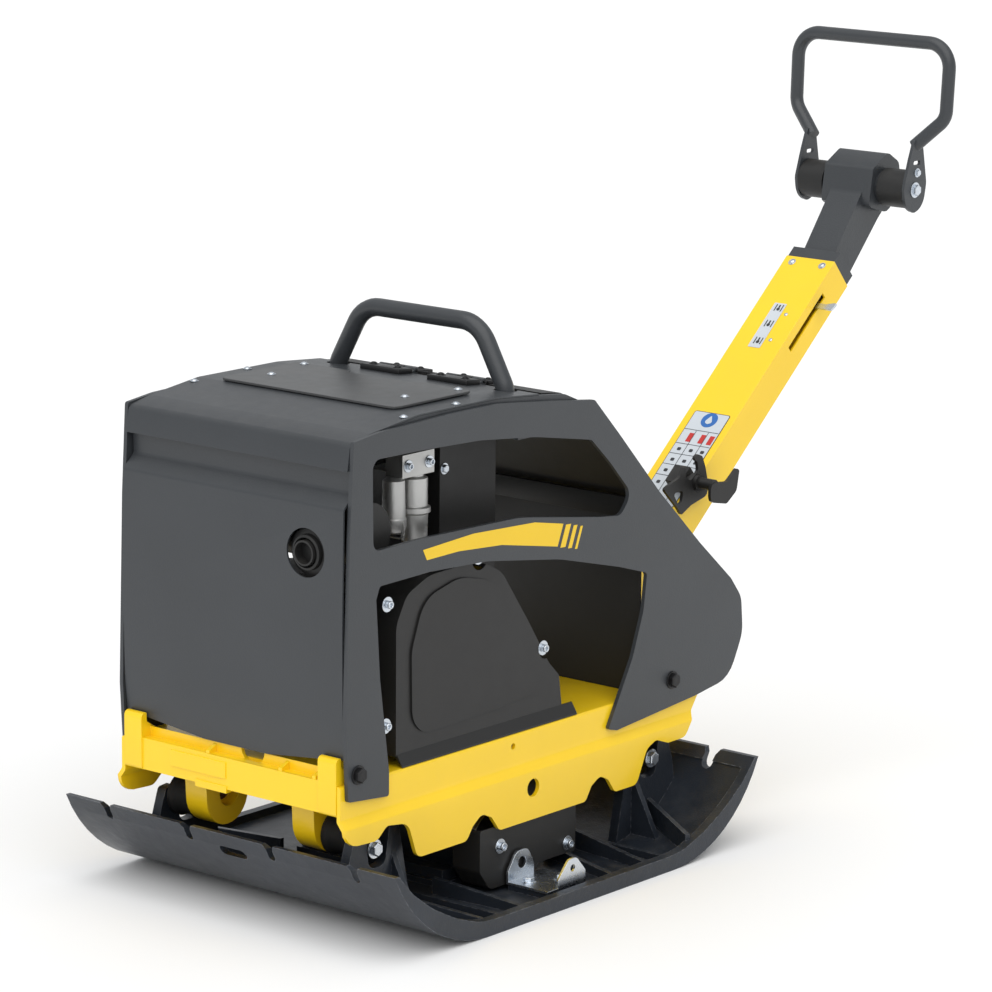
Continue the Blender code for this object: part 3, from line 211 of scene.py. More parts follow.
def edges_rounded(piece, width, segments=2, angle=30.0):
    """Breaks the sharp edges of a piece with a bevel, then shades it smooth up to that angle."""
    alone(piece)
    bpy.ops.object.shade_smooth_by_angle(angle=math.radians(angle))
    if width:
        step = piece.modifiers.new("edge", "BEVEL")
        step.width = width
        step.segments = segments
        step.limit_method = "ANGLE"
        step.angle_limit = math.radians(angle)
        step.miter_outer = "MITER_ARC"
        step.harden_normals = True
        bpy.ops.object.modifier_apply(modifier=step.name)
    return piece


def settled(piece, name, material, body, slot, *nodes):
    """Names a piece, gives it its finish, and lets it ride on its body, in place of CAD nodes if any are named."""
    piece.name = name
    piece.data.name = name
    piece.data.materials.clear()
    piece.data.materials.append(material)
    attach(piece, body)
    if nodes:
        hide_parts(*nodes)
    return piece


def dressed(node, material, edge=0.0008, segments=2, angle=30.0, name=None):
    """A copy of a CAD node with its triangles joined into whole faces and its edges rounded."""
    source = frame["nodes"][node]
    piece = source.copy()
    piece.data = source.data.copy()
    body = piece["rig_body"]
    for key in list(piece.keys()):
        del piece[key]
    bpy.context.scene.collection.objects.link(piece)
    piece.parent = None
    piece.matrix_world = Matrix.Identity(4)
    slot = source.data.materials[0].name.split(".")[0]
    alone(piece)
    bpy.ops.object.mode_set(mode="EDIT")
    bpy.ops.mesh.select_all(action="SELECT")
    bpy.ops.mesh.remove_doubles(threshold=0.00001)
    bpy.ops.mesh.customdata_custom_splitnormals_clear()
    bpy.ops.mesh.dissolve_limited(angle_limit=math.radians(0.6))
    bpy.ops.object.mode_set(mode="OBJECT")
    edges_rounded(piece, edge, segments, angle)
    return settled(piece, name or node + "_finished", material, body, slot, node)


dressed("base_plate", cast_iron, 0.0014, 3)

# ---- exciter ------------------------------------------------------------------------------
# The vibrating unit on the plate's floor: a cast housing with an end cover at each side, and two
# geared shafts with half-round weights.

raw_steel = finish("ground_steel", (0.46, 0.46, 0.47), 0.34, 1.0, drift=0.06, grain=(900.0, 0.00002), polish=0.08)
for node in ("exciter_housing", "exciter_end_cover_left", "exciter_end_cover_right"):
    dressed(node, cast_iron, 0.0008)
for node in ("eccentric_shaft_front", "eccentric_shaft_rear", "exciter_gear_front", "exciter_gear_rear",
             "exciter_pulley", "clutch_pulley"):
    dressed(node, raw_steel, 0.0005, 1)

# ---- lower belt cover ---------------------------------------------------------------------
# A pressed steel tray round the exciter's pulley, held to the housing by two socket screws.

black_coat = finish("black_coat", (0.017, 0.0168, 0.0165), 0.46, 0.0, drift=0.15, grain=(650.0, 0.00006), dust=0.08,
                    shine=0.35)
zinc = finish("bright_zinc", (0.60, 0.64, 0.69), 0.27, 1.0, drift=0.16, grain=(260.0, 0.00005), polish=0.10)
dressed("lower_belt_cover", black_coat, 0.0016, 3)


def facing(axis, place):
    """The transform that turns a piece made along +Z to point along an axis, at a place."""
    return Matrix.Translation(place) @ Vector(axis).to_track_quat("Z", "Y").to_matrix().to_4x4()


def turned(profile, sides=32, place=Matrix.Identity(4), angle=30.0):
    """A turned solid: a disc extruded ring by ring through (radius, height), from one end to the other."""
    radius, height = profile[0]
    bpy.ops.mesh.primitive_circle_add(vertices=sides, radius=radius, fill_type="NGON", location=(0, 0, height))
    piece = bpy.context.object
    bpy.ops.object.transform_apply()
    alone(piece)
    bpy.ops.object.mode_set(mode="EDIT")
    bpy.ops.mesh.select_all(action="SELECT")
    for next_radius, next_height in profile[1:]:
        bpy.ops.mesh.extrude_region_move(TRANSFORM_OT_translate={"value": (0, 0, next_height - height)})
        spread = next_radius / radius
        bpy.ops.transform.resize(value=(spread, spread, 1), center_override=(0, 0, next_height))
        radius, height = next_radius, next_height
    bpy.ops.mesh.select_all(action="SELECT")
    bpy.ops.mesh.normals_make_consistent(inside=False)
    bpy.ops.object.mode_set(mode="OBJECT")
    edges_rounded(piece, 0, angle=angle)
    piece.data.transform(place)
    return piece


def joined(*pieces):
    """Several solids made one object."""
    alone(*pieces)
    bpy.ops.object.join()
    return bpy.context.object


def washer(radius, thickness, place):
    return turned([(radius * 0.97, 0), (radius, thickness * 0.2), (radius, thickness * 0.8),
                   (radius * 0.97, thickness)], 32, place)


def hex_bolt(size, place, washer_radius=0.0):
    """A hexagon head with its chamfer and flange washer, its seat at the place and its head along the place's Z."""
    across = size * 0.95
    thickness = size * 0.16 if washer_radius else 0.0
    low, high = thickness, thickness + size * 0.62
    head = turned([(across * 0.96, low), (across, low + size * 0.05), (across, high - size * 0.10),
                   (across * 0.86, high)], 6, place, angle=20.0)
    dimple = turned([(size * 0.60, high - size * 0.02), (size * 0.60, high + size * 0.015),
                     (size * 0.48, high + size * 0.015), (size * 0.46, high - size * 0.03)], 24, place)
    parts = [dimple, head]
    if washer_radius:
        parts.append(washer(washer_radius, thickness, place))
    return joined(*parts)


def socket_screw(size, place, washer_radius=0.0):
    """A socket head with its hexagon recess, on a washer."""
    thickness = size * 0.18 if washer_radius else 0.0
    high = thickness + size * 0.9
    head = turned([(size * 0.74, thickness), (size * 0.76, thickness + size * 0.06), (size * 0.76, high - size * 0.08),
                   (size * 0.70, high), (size * 0.46, high), (size * 0.42, high - size * 0.05),
                   (size * 0.41, high - size * 0.45)], 24, place)
    parts = [head]
    if washer_radius:
        parts.append(washer(washer_radius, thickness, place))
    return joined(*parts)


def dome_screw(size, place, washer_radius=0.0):
    """A low round head with a recess, on a washer."""
    thickness = size * 0.18 if washer_radius else 0.0
    rise = [(size * math.cos(a), thickness + size * 0.55 * math.sin(a))
            for a in (0.0, 0.25, 0.5, 0.75, 1.0, 1.12)]
    recess = [(size * 0.38, rise[-1][1] - size * 0.02), (size * 0.34, rise[-1][1] - size * 0.28)]
    parts = [turned(rise + recess, 24, place)]
    if washer_radius:
        parts.append(washer(washer_radius, thickness, place))
    return joined(*parts)


cover_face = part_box("lower_belt_cover")[1].x
cover_screws = [socket_screw(0.0080, facing((1, 0, 0), (cover_face, y, z)), 0.0105)
                for y, z in ((-0.0613, 0.0742), (0.0856, 0.0456))]
settled(joined(*cover_screws), "belt_cover_screws", zinc, "lower_mass", "zinc_plate")

# ---- plate bracket ------------------------------------------------------------------------
# A bent bracket with two eyes for the transport wheels, zinc-plated, bolted to a pad on the plate.

dressed("plate_bracket", zinc, 0.0010, 3)
bracket_low, bracket_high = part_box("plate_bracket")
bracket_floor = bracket_low.z + 0.0037
bracket_bolts = [hex_bolt(0.0080, facing((0, 0, 1), (x, y, bracket_floor)), 0.0105)
                 for x, y in ((0.226, -0.030), (0.250, 0.010))]
settled(joined(*bracket_bolts), "plate_bracket_bolts", zinc, "lower_mass", "zinc_plate")

# ---- rubber buffers -----------------------------------------------------------------------
# Four round blocks of rubber between the plate's ears and the upper mass. Each is vulcanised to a
# steel disc at both ends and bolted through the ear.

rubber = finish("buffer_rubber", (0.012, 0.012, 0.012), 0.72, 0.0, drift=0.25, grain=(380.0, 0.00008), dust=0.08,
                shine=0.3)
buffer_radius = 0.030
disc_thickness = 0.0035
for end, y_side in (("front", -1), ("rear", 1)):
    for hand, x_side in (("left", 1), ("right", -1)):
        node = f"buffer_{end}_{hand}"
        low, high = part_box(node)
        length = high.x - low.x
        centre = (low + high) / 2
        start = facing((1, 0, 0), (low.x, centre.y, centre.z))
        swell = [(0.94, 0.0), (1.0, 0.02), (1.0, 0.10), (0.96, 0.16), (0.90, 0.22), (0.87, 0.32), (0.865, 0.50)]
        half = [(buffer_radius * wide, disc_thickness + (length - 2 * disc_thickness) * part) for wide, part in swell]
        other = [(radius, length - height) for radius, height in reversed(half[:-1])]
        settled(turned(half + other, 48, start), node + "_rubber", rubber, "upper_mass", "rubber", node)
        discs = []
        for place in (0.0, length - disc_thickness):
            discs.append(washer(buffer_radius - 0.0004, disc_thickness, start @ Matrix.Translation((0, 0, place))))
        settled(joined(*discs), node + "_discs", black_coat, "upper_mass", "black_steel")
        ear_face = x_side * (0.1800 + 0.0001)
        bolt = hex_bolt(0.0105, facing((x_side, 0, 0), (ear_face, centre.y - y_side * 0.008, centre.z - 0.014)), 0.0135)
        settled(bolt, node + "_bolt", zinc, "lower_mass", "zinc_plate")

# ---- console frame ------------------------------------------------------------------------
# The welded steel deck of the upper mass, with folded rails and a scalloped skirt at each side.
# Powder-coated in yellow.

yellow = finish("yellow_powder_coat", (0.94, 0.620, 0.008), 0.33, 0.0, drift=0.03, grain=(260.0, 0.00006),
                wave=(60.0, 0.00025), polish=0.05, dust=0.03, coat=0.25)
dressed("console_frame", yellow, 0.0012, 3)

# ---- front crossmember --------------------------------------------------------------------
# A casting across the front of the deck, with a boss at each end, a ledge with webs behind its face,
# and the two lugs that hold the front buffers.

dressed("front_crossmember", yellow, 0.0016, 3)
rusted = finish("rusted_bolt", (0.105, 0.040, 0.022), 0.62, 0.2, drift=0.4, grain=(300.0, 0.0003))
lug_bolts = [hex_bolt(0.0100, facing((-side, 0, 0), (side * 0.0938, -0.304, 0.150)), 0.0130) for side in (-1, 1)]
settled(joined(*lug_bolts), "front_lug_bolts", rusted, "upper_mass", "black_steel")

# ---- side plates --------------------------------------------------------------------------
# Two laser-cut steel plates with an arched window each, in structured grey paint. Each is held to
# the deck by two black bolts.

structured_grey = finish("structured_grey", (0.036, 0.040, 0.045), 0.36, 0.0, drift=0.05, grain=(430.0, 0.00026),
                         polish=0.05, dust=0.03)
black_bolt = finish("blackened_bolt", (0.016, 0.016, 0.017), 0.40, 0.4, drift=0.2, grain=(500.0, 0.00005))
for hand, side in (("left", 1), ("right", -1)):
    node = f"side_plate_{hand}"
    dressed(node, structured_grey, 0.0009)
    face = side * (max(abs(corner.x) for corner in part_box(node)) + 0.0001)
    bolts = [hex_bolt(0.0110, facing((side, 0, 0), (face, y, z)), 0.0130) for y, z in ((-0.361, 0.239), (0.314, 0.237))]
    settled(joined(*bolts), node + "_bolts", black_bolt, "upper_mass", "black_steel")

# ---- roof, front panel and access plate ---------------------------------------------------
# Folded sheet steel in the same structured paint. The access plate is screwed on top of the roof.

access_grey = finish("access_plate_grey", (0.062, 0.064, 0.066), 0.38, 0.0, drift=0.06, grain=(500.0, 0.00010),
                     polish=0.05, dust=0.05)
dressed("roof_cover", structured_grey, 0.0008)
dressed("front_panel", structured_grey, 0.0008)
dressed("access_plate", access_grey, 0.0008)
dressed("rear_wall", black_coat, 0.0008)


def block(low, high, edge=0.001, segments=2, place=Matrix.Identity(4)):
    """A box between two corners in a place's own axes, with its edges rounded."""
    low, high = Vector(low), Vector(high)
    bpy.ops.object.select_all(action="DESELECT")
    bpy.ops.mesh.primitive_cube_add(size=1.0)
    piece = bpy.context.object
    alone(piece)
    bpy.ops.object.mode_set(mode="EDIT")
    bpy.ops.mesh.select_all(action="SELECT")
    bpy.ops.transform.resize(value=high - low)
    bpy.ops.transform.translate(value=(low + high) / 2)
    if edge:
        bpy.ops.mesh.bevel(offset=edge, segments=segments, affect="EDGES")
    bpy.ops.object.mode_set(mode="OBJECT")
    edges_rounded(piece, 0)
    piece.data.transform(place)
    return piece


def rounded(corners, closed=True, steps=8):
    """A path whose corners (point, radius) are replaced by arcs."""
    path = []
    for index, (corner, radius) in enumerate(corners):
        corner = Vector(corner)
        if not radius or (not closed and index in (0, len(corners) - 1)):
            path.append(corner)
            continue
        before = (Vector(corners[index - 1][0]) - corner).normalized()
        after = (Vector(corners[(index + 1) % len(corners)][0]) - corner).normalized()
        half = before.angle(after) / 2
        centre = corner + (before + after).normalized() * (radius / math.sin(half))
        start = corner + before * (radius / math.tan(half)) - centre
        end = corner + after * (radius / math.tan(half)) - centre
        sweep = start.angle(end)
        for step in range(steps + 1):
            part = step / steps
            path.append(centre + (start * math.sin((1 - part) * sweep) + end * math.sin(part * sweep)) / math.sin(sweep))
    return path


def meshed(curve):
    """A mesh object from a curve, with its seams closed."""
    piece = bpy.data.objects.new("curve", curve)
    bpy.context.scene.collection.objects.link(piece)
    alone(piece)
    bpy.ops.object.convert(target="MESH")
    piece = bpy.context.object
    bpy.ops.object.mode_set(mode="EDIT")
    bpy.ops.mesh.select_all(action="SELECT")
    bpy.ops.mesh.remove_doubles(threshold=0.00001)
    bpy.ops.mesh.normals_make_consistent(inside=False)
    bpy.ops.object.mode_set(mode="OBJECT")
    return piece


def plate(corners, low, high, place=Matrix.Identity(4), edge=0.0, segments=2, holes=()):
    """A flat plate cut to an outline of (a, b) or (a, b, corner radius), between two heights over a place."""
    curve = bpy.data.curves.new("outline", "CURVE")
    curve.dimensions = "2D"
    curve.fill_mode = "BOTH"
    curve.extrude = (high - low) / 2
    for loop in (corners, *holes):
        path = rounded([((c[0], c[1], 0.0), c[2] if len(c) > 2 else 0.0) for c in loop])
        spline = curve.splines.new("POLY")
        spline.points.add(len(path) - 1)
        for point, where in zip(spline.points, path):
            point.co = (*where, 1.0)
        spline.use_cyclic_u = True
    piece = meshed(curve)
    edges_rounded(piece, edge, segments)
    piece.data.transform(place @ Matrix.Translation((0, 0, (low + high) / 2)))
    return piece


def pipe(path, radius, place=Matrix.Identity(4), sides=6, closed=False):
    """A round bar along a path of points."""
    curve = bpy.data.curves.new("path", "CURVE")
    curve.dimensions = "3D"
    curve.bevel_depth = radius
    curve.bevel_resolution = sides
    curve.use_fill_caps = True
    spline = curve.splines.new("POLY")
    spline.points.add(len(path) - 1)
    for point, where in zip(spline.points, path):
        point.co = (*where, 1.0)
    spline.use_cyclic_u = closed
    piece = meshed(curve)
    edges_rounded(piece, 0, angle=50.0)
    piece.data.transform(place)
    return piece


# outlines in (Y, Z) stand on these planes: heights run to the machine's left
ON_SIDE = Matrix(((0, 0, 1, 0), (1, 0, 0, 0), (0, 1, 0, 0), (0, 0, 0, 1)))

# folded strips under both edges of the roof, which run on down the rear slope beside the flap
strip_top = [(-0.366, 0.6770), (-0.330, 0.6865, 0.05), (-0.235, 0.6985, 0.05), (-0.075, 0.6980, 0.2), (0.0145, 0.6905),
             (0.030, 0.6888), (0.070, 0.6845, 0.03), (0.129, 0.6600, 0.04), (0.185, 0.6035, 0.08), (0.2580, 0.5055)]
strip_low = [(0.2490, 0.4990), (0.177, 0.5950, 0.08), (0.123, 0.6490, 0.04), (0.068, 0.6730, 0.03), (0.030, 0.6775),
             (-0.075, 0.6860, 0.2), (-0.235, 0.6862, 0.05), (-0.330, 0.6745, 0.05), (-0.366, 0.6650)]
strips = [plate(strip_top + strip_low, *sorted((side * 0.1922, side * 0.1982)), ON_SIDE, 0.0008) for side in (-1, 1)]
settled(joined(*strips), "roof_edge_strips", structured_grey, "upper_mass", "structured_grey_paint")

seal = block((-0.1880, 0.2400, 0.4800), (0.1880, 0.2470, 0.5100), 0.0010)
settled(seal, "rear_wall_seal", black_coat, "upper_mass", "black_steel")

# a plain yellow tapered stripe with slanted bars on both side plates, under the window
stripe = [(-0.2330, 0.5190), (-0.1300, 0.5240), (0.0000, 0.5180), (0.0620, 0.5060), (0.0500, 0.4760), (-0.0700, 0.4985),
          (-0.1600, 0.5050), (-0.2250, 0.5040)]
bars = [[(start, 0.5050 - (start - 0.0620) * 0.22), (start + width, 0.5045 - (start - 0.0620) * 0.22),
         (start + width - 0.0120, 0.4740 - (start - 0.0620) * 0.22), (start - 0.0120, 0.4745 - (start - 0.0620) * 0.22)]
        for start, width in ((0.0680, 0.0110), (0.0850, 0.0080), (0.1000, 0.0050))]
stripe_film = finish("stripe_film", (0.86, 0.560, 0.008), 0.35, 0.0, drift=0.02, grain=(300.0, 0.00001))
for hand, side in (("left", 1), ("right", -1)):
    low_x, high_x = sorted((side * 0.20505, side * 0.20530))
    settled(joined(*[plate(shape, low_x, high_x, ON_SIDE) for shape in (stripe, *bars)]), f"side_stripe_{hand}",
            stripe_film, "upper_mass", "yellow_paint")

roof_screws = [dome_screw(0.0046, facing((0, 0, 1), (side * 0.1880, y, z)), 0.0062)
               for side in (-1, 1) for y, z in ((-0.2535, 0.6982), (-0.1475, 0.7004))]
access_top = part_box("access_plate")[1].z
access_screws = [dome_screw(0.0046, facing((0, 0, 1), (side * x, y, access_top)), 0.0062)
                 for side in (-1, 1) for x, y in ((0.120, -0.1725), (0.139, -0.0850))]
settled(joined(*roof_screws, *access_screws), "roof_screws", zinc, "upper_mass", "zinc_plate")

# ---- rear flap ----------------------------------------------------------------------------
# A flat plastic lid at the rear of the roof, which turns up on a long pin.

plastic = finish("black_plastic", (0.017, 0.017, 0.017), 0.50, 0.0, drift=0.12, grain=(800.0, 0.00008), dust=0.05,
                 shine=0.35)
dressed("service_flap", plastic, 0.0006)
dressed("flap_hinge_pin", black_bolt, 0.0003, 1)
leaf_blocks, flap_blocks = [], []
for centre in (-0.061, 0.061):
    roof_leaf = Matrix.Translation((centre, 0.0125, 0.6923)) @ Matrix.Rotation(math.radians(-5.0), 4, "X")
    flap_leaf = Matrix.Translation((centre, 0.0315, 0.6900)) @ Matrix.Rotation(math.radians(-7.0), 4, "X")
    leaf_blocks.append(block((-0.036, -0.030, -0.001), (0.036, 0.0, 0.0075), 0.0022, 3, roof_leaf))
    flap_blocks.append(block((-0.034, 0.0, -0.001), (0.034, 0.027, 0.0052), 0.0016, 3, flap_leaf))
    for x in (-0.022, 0.022):
        leaf_blocks.append(dome_screw(0.0050, roof_leaf @ Matrix.Translation((x, -0.016, 0.0073)), 0.0068))
        flap_blocks.append(dome_screw(0.0042, flap_leaf @ Matrix.Translation((x, 0.014, 0.0050)), 0.0058))
settled(joined(*leaf_blocks), "roof_hinge_leaves", black_bolt, "upper_mass", "black_steel")
settled(joined(*flap_blocks), "flap_hinge_leaves", black_bolt, "flap", "black_steel")

# ---- lifting bail -------------------------------------------------------------------------
# A bent tube over the machine's middle, welded to a foot plate at each side plate.

bail_half = [((0.1930, 0.0, 0.6520), 0), ((0.1560, 0.0, 0.6600), 0.020), ((0.1500, 0.0, 0.6980), 0.030),
             ((0.1040, 0.0, 0.7810), 0.050)]
bail_path = [((-x, y, z), radius) for (x, y, z), radius in bail_half] + bail_half[::-1]
bail_parts = [pipe(rounded(bail_path, closed=False), 0.0128)]
for side in (-1, 1):
    low_x, high_x = sorted((side * 0.1895, side * 0.1987))
    bail_parts.append(block((low_x, -0.030, 0.6350), (high_x, 0.030, 0.6680), 0.001))
settled(joined(*bail_parts), "lifting_bail_bent_tube", structured_grey, "upper_mass", "structured_grey_paint",
        "lifting_bail")

# ---- engine -------------------------------------------------------------------------------
# A single-cylinder diesel on the deck, with its fan, recoil starter, tank, filters and muffler.

aluminium = finish("cast_aluminium", (0.50, 0.50, 0.49), 0.42, 0.9, drift=0.12, grain=(300.0, 0.00020))
engine_black = finish("engine_enamel", (0.012, 0.012, 0.012), 0.45, 0.0, drift=0.2, grain=(300.0, 0.0002), shine=0.35)
engine_finishes = {
    "crankcase": engine_black, "cylinder_head": engine_black, "crankshaft": raw_steel, "flywheel_fan": aluminium,
    "fan_shroud": black_coat, "recoil_housing": plastic, "starter_grip": plastic, "air_duct": black_coat,
    "muffler": black_coat, "air_filter": plastic, "fuel_filter": aluminium, "fuel_tank": plastic,
    "fuel_cap": plastic, "drive_belt": rubber,
}
for node, material in engine_finishes.items():
    dressed(node, material, 0.0006)

# a black disc behind the exhaust's opening, the second filter bowl with its wire, and the filter's screws
exhaust = facing((0, -1, 0), (0.1326, -0.372, 0.530))
collar = turned([(0.0322, 0.0), (0.0322, 0.003), (0.0245, 0.0045), (0.0235, 0.0110), (0.0205, 0.0125), (0.0190, 0.0100),
                 (0.0180, 0.0020)], 40, exhaust)
settled(collar, "exhaust_collar", engine_black, "upper_mass", "black_steel")
bowl_place = Matrix.Translation((0.135, -0.2115, 0.0))
second_bowl = turned([(0.0090, 0.527), (0.0150, 0.531), (0.0175, 0.537), (0.0175, 0.548), (0.0160, 0.550),
                      (0.0150, 0.600), (0.0100, 0.604)], 32, bowl_place)
hoop = rounded([((0.0175, 0, 0.545), 0), ((0.0190, 0, 0.522), 0.010), ((-0.0190, 0, 0.522), 0.010),
                ((-0.0175, 0, 0.545), 0)], closed=False)
settled(joined(second_bowl, pipe(hoop, 0.0012, bowl_place)), "second_filter_bowl", aluminium, "upper_mass",
        "cast_aluminium")
filter_screws = [socket_screw(0.0060, facing((1, 0, 0), (x, y, 0.619)), 0.0085)
                 for x, y in ((0.1501, -0.200), (0.1501, -0.157))]
filter_screws += [hex_bolt(0.0060, facing((1, 0, 0), (0.1241, -0.095, z)), 0.0080) for z in (0.596, 0.500)]
settled(joined(*filter_screws), "filter_screws", zinc, "upper_mass", "zinc_plate")

# ---- belt guard ---------------------------------------------------------------------------
# A vacuum-formed plastic shell with a raised field, over the upper pulley and the clutch.

guard_plastic = finish("guard_plastic", (0.015, 0.0148, 0.0146), 0.42, 0.0, drift=0.08, grain=(900.0, 0.00005),
                       shine=0.40)
dressed("belt_guard", guard_plastic, 0.0030, 4)
field = [(-0.236, 0.286, 0.035), (-0.238, 0.380, 0.060), (-0.213, 0.447, 0.050), (-0.140, 0.464, 0.080),
         (-0.070, 0.448, 0.060), (-0.005, 0.345, 0.080), (0.032, 0.274, 0.014), (-0.060, 0.266, 0.300),
         (-0.215, 0.262, 0.035)]
guard_field = plate(field, 0.1860, 0.1908, ON_SIDE, 0.0026, 4)
settled(guard_field, "belt_guard_field", guard_plastic, "upper_mass", "black_plastic")
guard_screws = [socket_screw(0.0070, facing((1, 0, 0), (0.1850, y, z)), 0.0105)
                for y, z in ((-0.2815, 0.451), (-0.2844, 0.286), (-0.095, 0.483), (0.045, 0.331))]
settled(joined(*guard_screws), "belt_guard_screws", zinc, "upper_mass", "zinc_plate")

# ---- drawbar ------------------------------------------------------------------------------
# A square tube hinged at the rear of the deck, with the cast head that carries the control loop.

dressed("mast_tube", yellow, 0.0030, 4)
dressed("mast_neck", structured_grey, 0.0025, 3)
dressed("latch_bracket", black_coat, 0.0008)
dressed("mast_latch", black_coat, 0.0012)
dressed("mast_pivot_pin", zinc, 0.0005)
dressed("throttle_lever", zinc, 0.0004)

# labels with pictures only, on the drawbar's upper face: a silver panel, three icons, and two screws
drawbar = Matrix.Translation((0, 0.385, 0.2625)) @ Matrix.Rotation(math.radians(40.4), 4, "X")
drawbar_face = 0.02775
silver_film = finish("silver_film", (0.56, 0.60, 0.64), 0.35, 0.0, drift=0.05, grain=(300.0, 0.00001))
dark_print = finish("dark_print", (0.020, 0.022, 0.026), 0.4, 0.0, drift=0.05, grain=(300.0, 0.00001))
blue_print = finish("blue_print", (0.020, 0.130, 0.420), 0.4, 0.0, drift=0.05, grain=(300.0, 0.00001))
red_print = finish("red_print", (0.500, 0.020, 0.016), 0.4, 0.0, drift=0.05, grain=(300.0, 0.00001))
film = 0.00025                  # each layer of a label


def printed(shapes, name, material, layer, body="mast", place=None):
    """Thin shapes of one colour, on their own layer of a label."""
    low = layer * film
    pieces = [plate(shape, low, low + film, place or drawbar @ Matrix.Translation((0, 0, drawbar_face + 0.0001)))
              for shape in shapes]
    return settled(joined(*pieces), name, material, body, "zinc_plate")


def oblong(low_x, low_y, high_x, high_y, radius=0.0):
    return [(low_x, low_y, radius), (high_x, low_y, radius), (high_x, high_y, radius), (low_x, high_y, radius)]


def round_spot(x, y, radius):
    return oblong(x - radius, y - radius, x + radius, y + radius, radius * 0.999)


printed([oblong(-0.0318, 0.2200, 0.0340, 0.4020, 0.004)], "drawbar_panel_rim", dark_print, 0)
printed([oblong(-0.0306, 0.2212, 0.0328, 0.4008, 0.003), oblong(-0.0125, 0.5350, 0.0100, 0.6250, 0.0015)],
        "drawbar_panel", silver_film, 1)
printed([round_spot(0.0026, 0.3873, 0.0140)], "drawbar_panel_disc", blue_print, 2)
printed([[(0.0026, 0.3965, 0.001), (-0.0045, 0.3830, 0.004), (0.0026, 0.3790, 0.004), (0.0097, 0.3830, 0.004)]],
        "drawbar_panel_drop", silver_film, 3)
printed([oblong(x, 0.3420, x + 0.0085, 0.3590) for x in (-0.0165, 0.0060, 0.0220)], "drawbar_panel_bars", red_print, 2)
lines = [oblong(-0.0300, s, 0.0322, s + 0.0007) for s in (0.3650, 0.3370, 0.3170, 0.2960, 0.2750)]
lines += [oblong(x, 0.2230, x + 0.0007, 0.3640) for x in (-0.0080, 0.0145)]
for s in (0.3210, 0.3000, 0.2790, 0.2560):
    lines += [oblong(x, s + 0.003, x + 0.0065, s + 0.0085, 0.0015) for x in (-0.0215, 0.0005, 0.0215)]
printed(lines, "drawbar_panel_grid", dark_print, 3)
icons = []
for s in (0.5485, 0.5833, 0.6154):
    icons += [oblong(-0.0065, s - 0.0065, -0.0050, s + 0.0065), oblong(0.0050, s - 0.0065, 0.0065, s + 0.0065),
              round_spot(0.0, s - 0.0025, 0.0028), oblong(-0.0012, s, 0.0012, s + 0.0060)]
printed(icons, "drawbar_icons", dark_print, 3)
drawbar_screws = [dome_screw(0.0034, drawbar @ Matrix.Translation((x, s, drawbar_face))) for x, s in
                  ((0.0188, 0.6054), (0.0196, 0.5535))]
drawbar_screws += [dome_screw(0.0046, drawbar @ Matrix.Translation((x, 0.7076, drawbar_face)), 0.0062)
                   for x in (-0.0280, 0.0280)]
settled(joined(*drawbar_screws), "drawbar_screws", zinc, "mast", "zinc_plate")

# ---- control loop -------------------------------------------------------------------------
# A bent tube on two plates that turn with the drums either side of the head.

arm = [(1.0110, 0.8560, 0.020), (1.0170, 0.8170, 0.030), (1.0620, 0.8170, 0.030), (1.0710, 0.8600, 0.030),
       (1.0620, 0.9050, 0.010), (1.0570, 0.9290, 0.006), (1.0370, 0.9290, 0.006), (1.0250, 0.8980, 0.030)]
arm_slot = [(1.0350, 0.8900, 0.003), (1.0530, 0.8900, 0.003), (1.0530, 0.8965, 0.003), (1.0350, 0.8965, 0.003)]
loop_half = [((0.0950, 1.0470, 0.9180), 0), ((0.1400, 1.0635, 0.9620), 0.030), ((0.1415, 1.0690, 1.0748), 0.038)]
loop_path = [((-x, y, z), radius) for (x, y, z), radius in loop_half] + loop_half[::-1]
loop_parts = [pipe(rounded(loop_path, closed=False, steps=12), 0.0104)]
loop_screws = []
for side in (-1, 1):
    low_x, high_x = sorted((side * 0.0978, side * 0.1028))
    loop_parts.append(plate(arm, low_x, high_x, ON_SIDE, 0.0008, holes=(arm_slot,)))
    loop_screws.append(hex_bolt(0.0090, facing((side, 0, 0), (side * 0.1029, 1.0400, 0.8520)), 0.0120))
    loop_screws.append(hex_bolt(0.0055, facing((side, 0, 0), (side * 0.1029, 1.0450, 0.8780)), 0.0070))
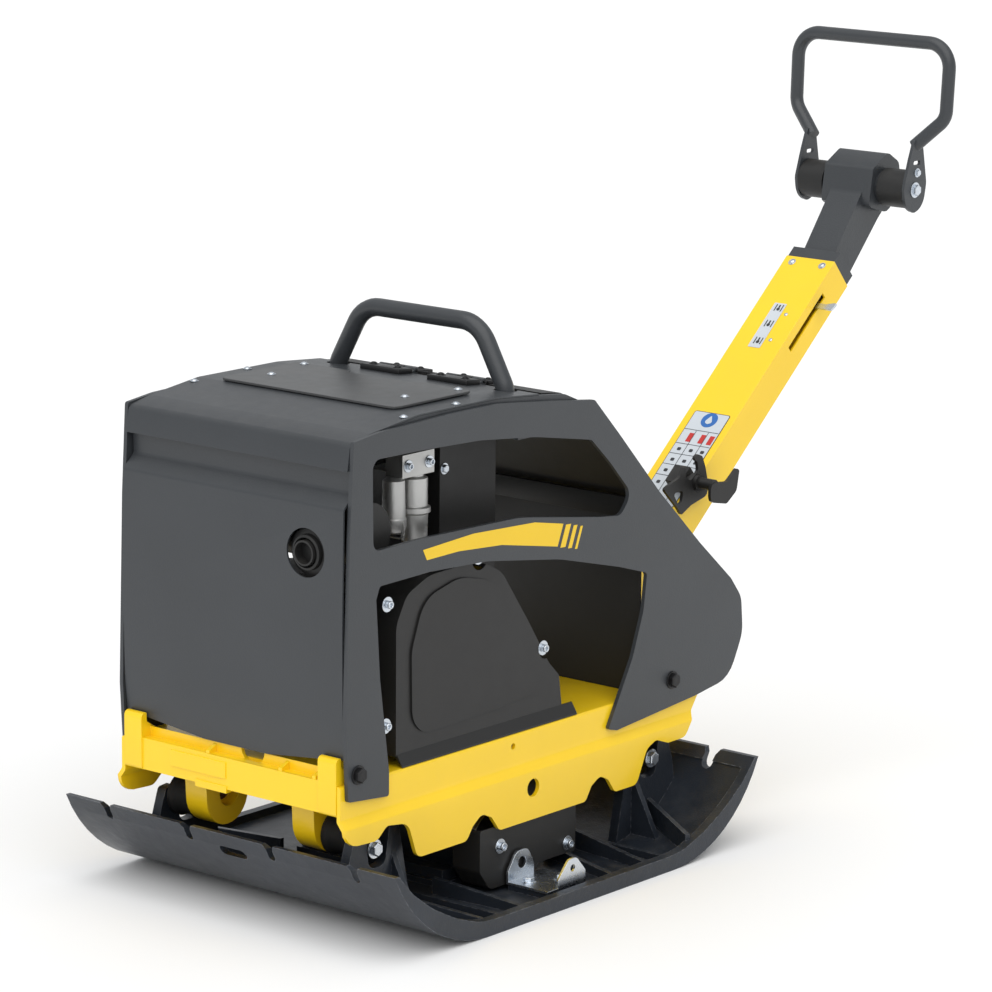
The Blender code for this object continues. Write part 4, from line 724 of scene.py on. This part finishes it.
settled(joined(*loop_parts), "control_loop_bent_tube", structured_grey, "loop", "structured_grey_paint", "control_loop")
settled(joined(*loop_screws), "control_loop_screws", zinc, "loop", "zinc_plate")
dressed("hub_drum_left", plastic, 0.0010)
dressed("hub_drum_right", plastic, 0.0010)
dressed("loop_shaft", zinc, 0.0005)

# ---- studio -------------------------------------------------------------------------------
# A pale floor that runs out of sight, and soft light from above.

bpy.ops.mesh.primitive_grid_add(x_subdivisions=4, y_subdivisions=4, size=160.0, location=(0, 0, 0))
floor = bpy.context.object
floor.name = "studio_floor"
floor.data.materials.append(finish("pale_floor", (0.90, 0.90, 0.90), 0.90, drift=0.0, grain=(30.0, 0.0), shine=0.1))
floor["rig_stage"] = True

world = bpy.data.worlds.new("studio")
world.use_nodes = True
world.node_tree.nodes["Background"].inputs["Color"].default_value = (0.96, 0.98, 1.0, 1.0)
world.node_tree.nodes["Background"].inputs["Strength"].default_value = 0.66
bpy.context.scene.world = world

# one very wide overhead light from the front, so that shadows stay soft
overhead = bpy.data.lights.new("overhead", "SUN")
overhead.energy = 2.1
overhead.angle = math.radians(85.0)
overhead.color = (1.0, 0.985, 0.965)
overhead_lamp = bpy.data.objects.new("overhead", overhead)
overhead_lamp.rotation_euler = Vector((-0.30, 0.52, -1.0)).to_track_quat("-Z", "Y").to_euler()
bpy.context.scene.collection.objects.link(overhead_lamp)

camera_data = bpy.data.cameras.new("camera")
camera_data.lens = 162.68
camera_data.sensor_width = 36.0
camera_data.clip_end = 400.0
camera = bpy.data.objects.new("camera", camera_data)
azimuth, elevation, roll = math.radians(39.533), math.radians(12.1645), math.radians(0.5393)
camera.matrix_world = (Matrix.Translation((3.94143, -4.61034, 1.83323)) @ Matrix.Rotation(azimuth, 4, "Z")
                       @ Matrix.Rotation(math.pi / 2 - elevation, 4, "X") @ Matrix.Rotation(roll, 4, "Z"))
bpy.context.scene.collection.objects.link(camera)
bpy.context.scene.camera = camera
bpy.context.scene.view_settings.view_transform = "Standard"

low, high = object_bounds()
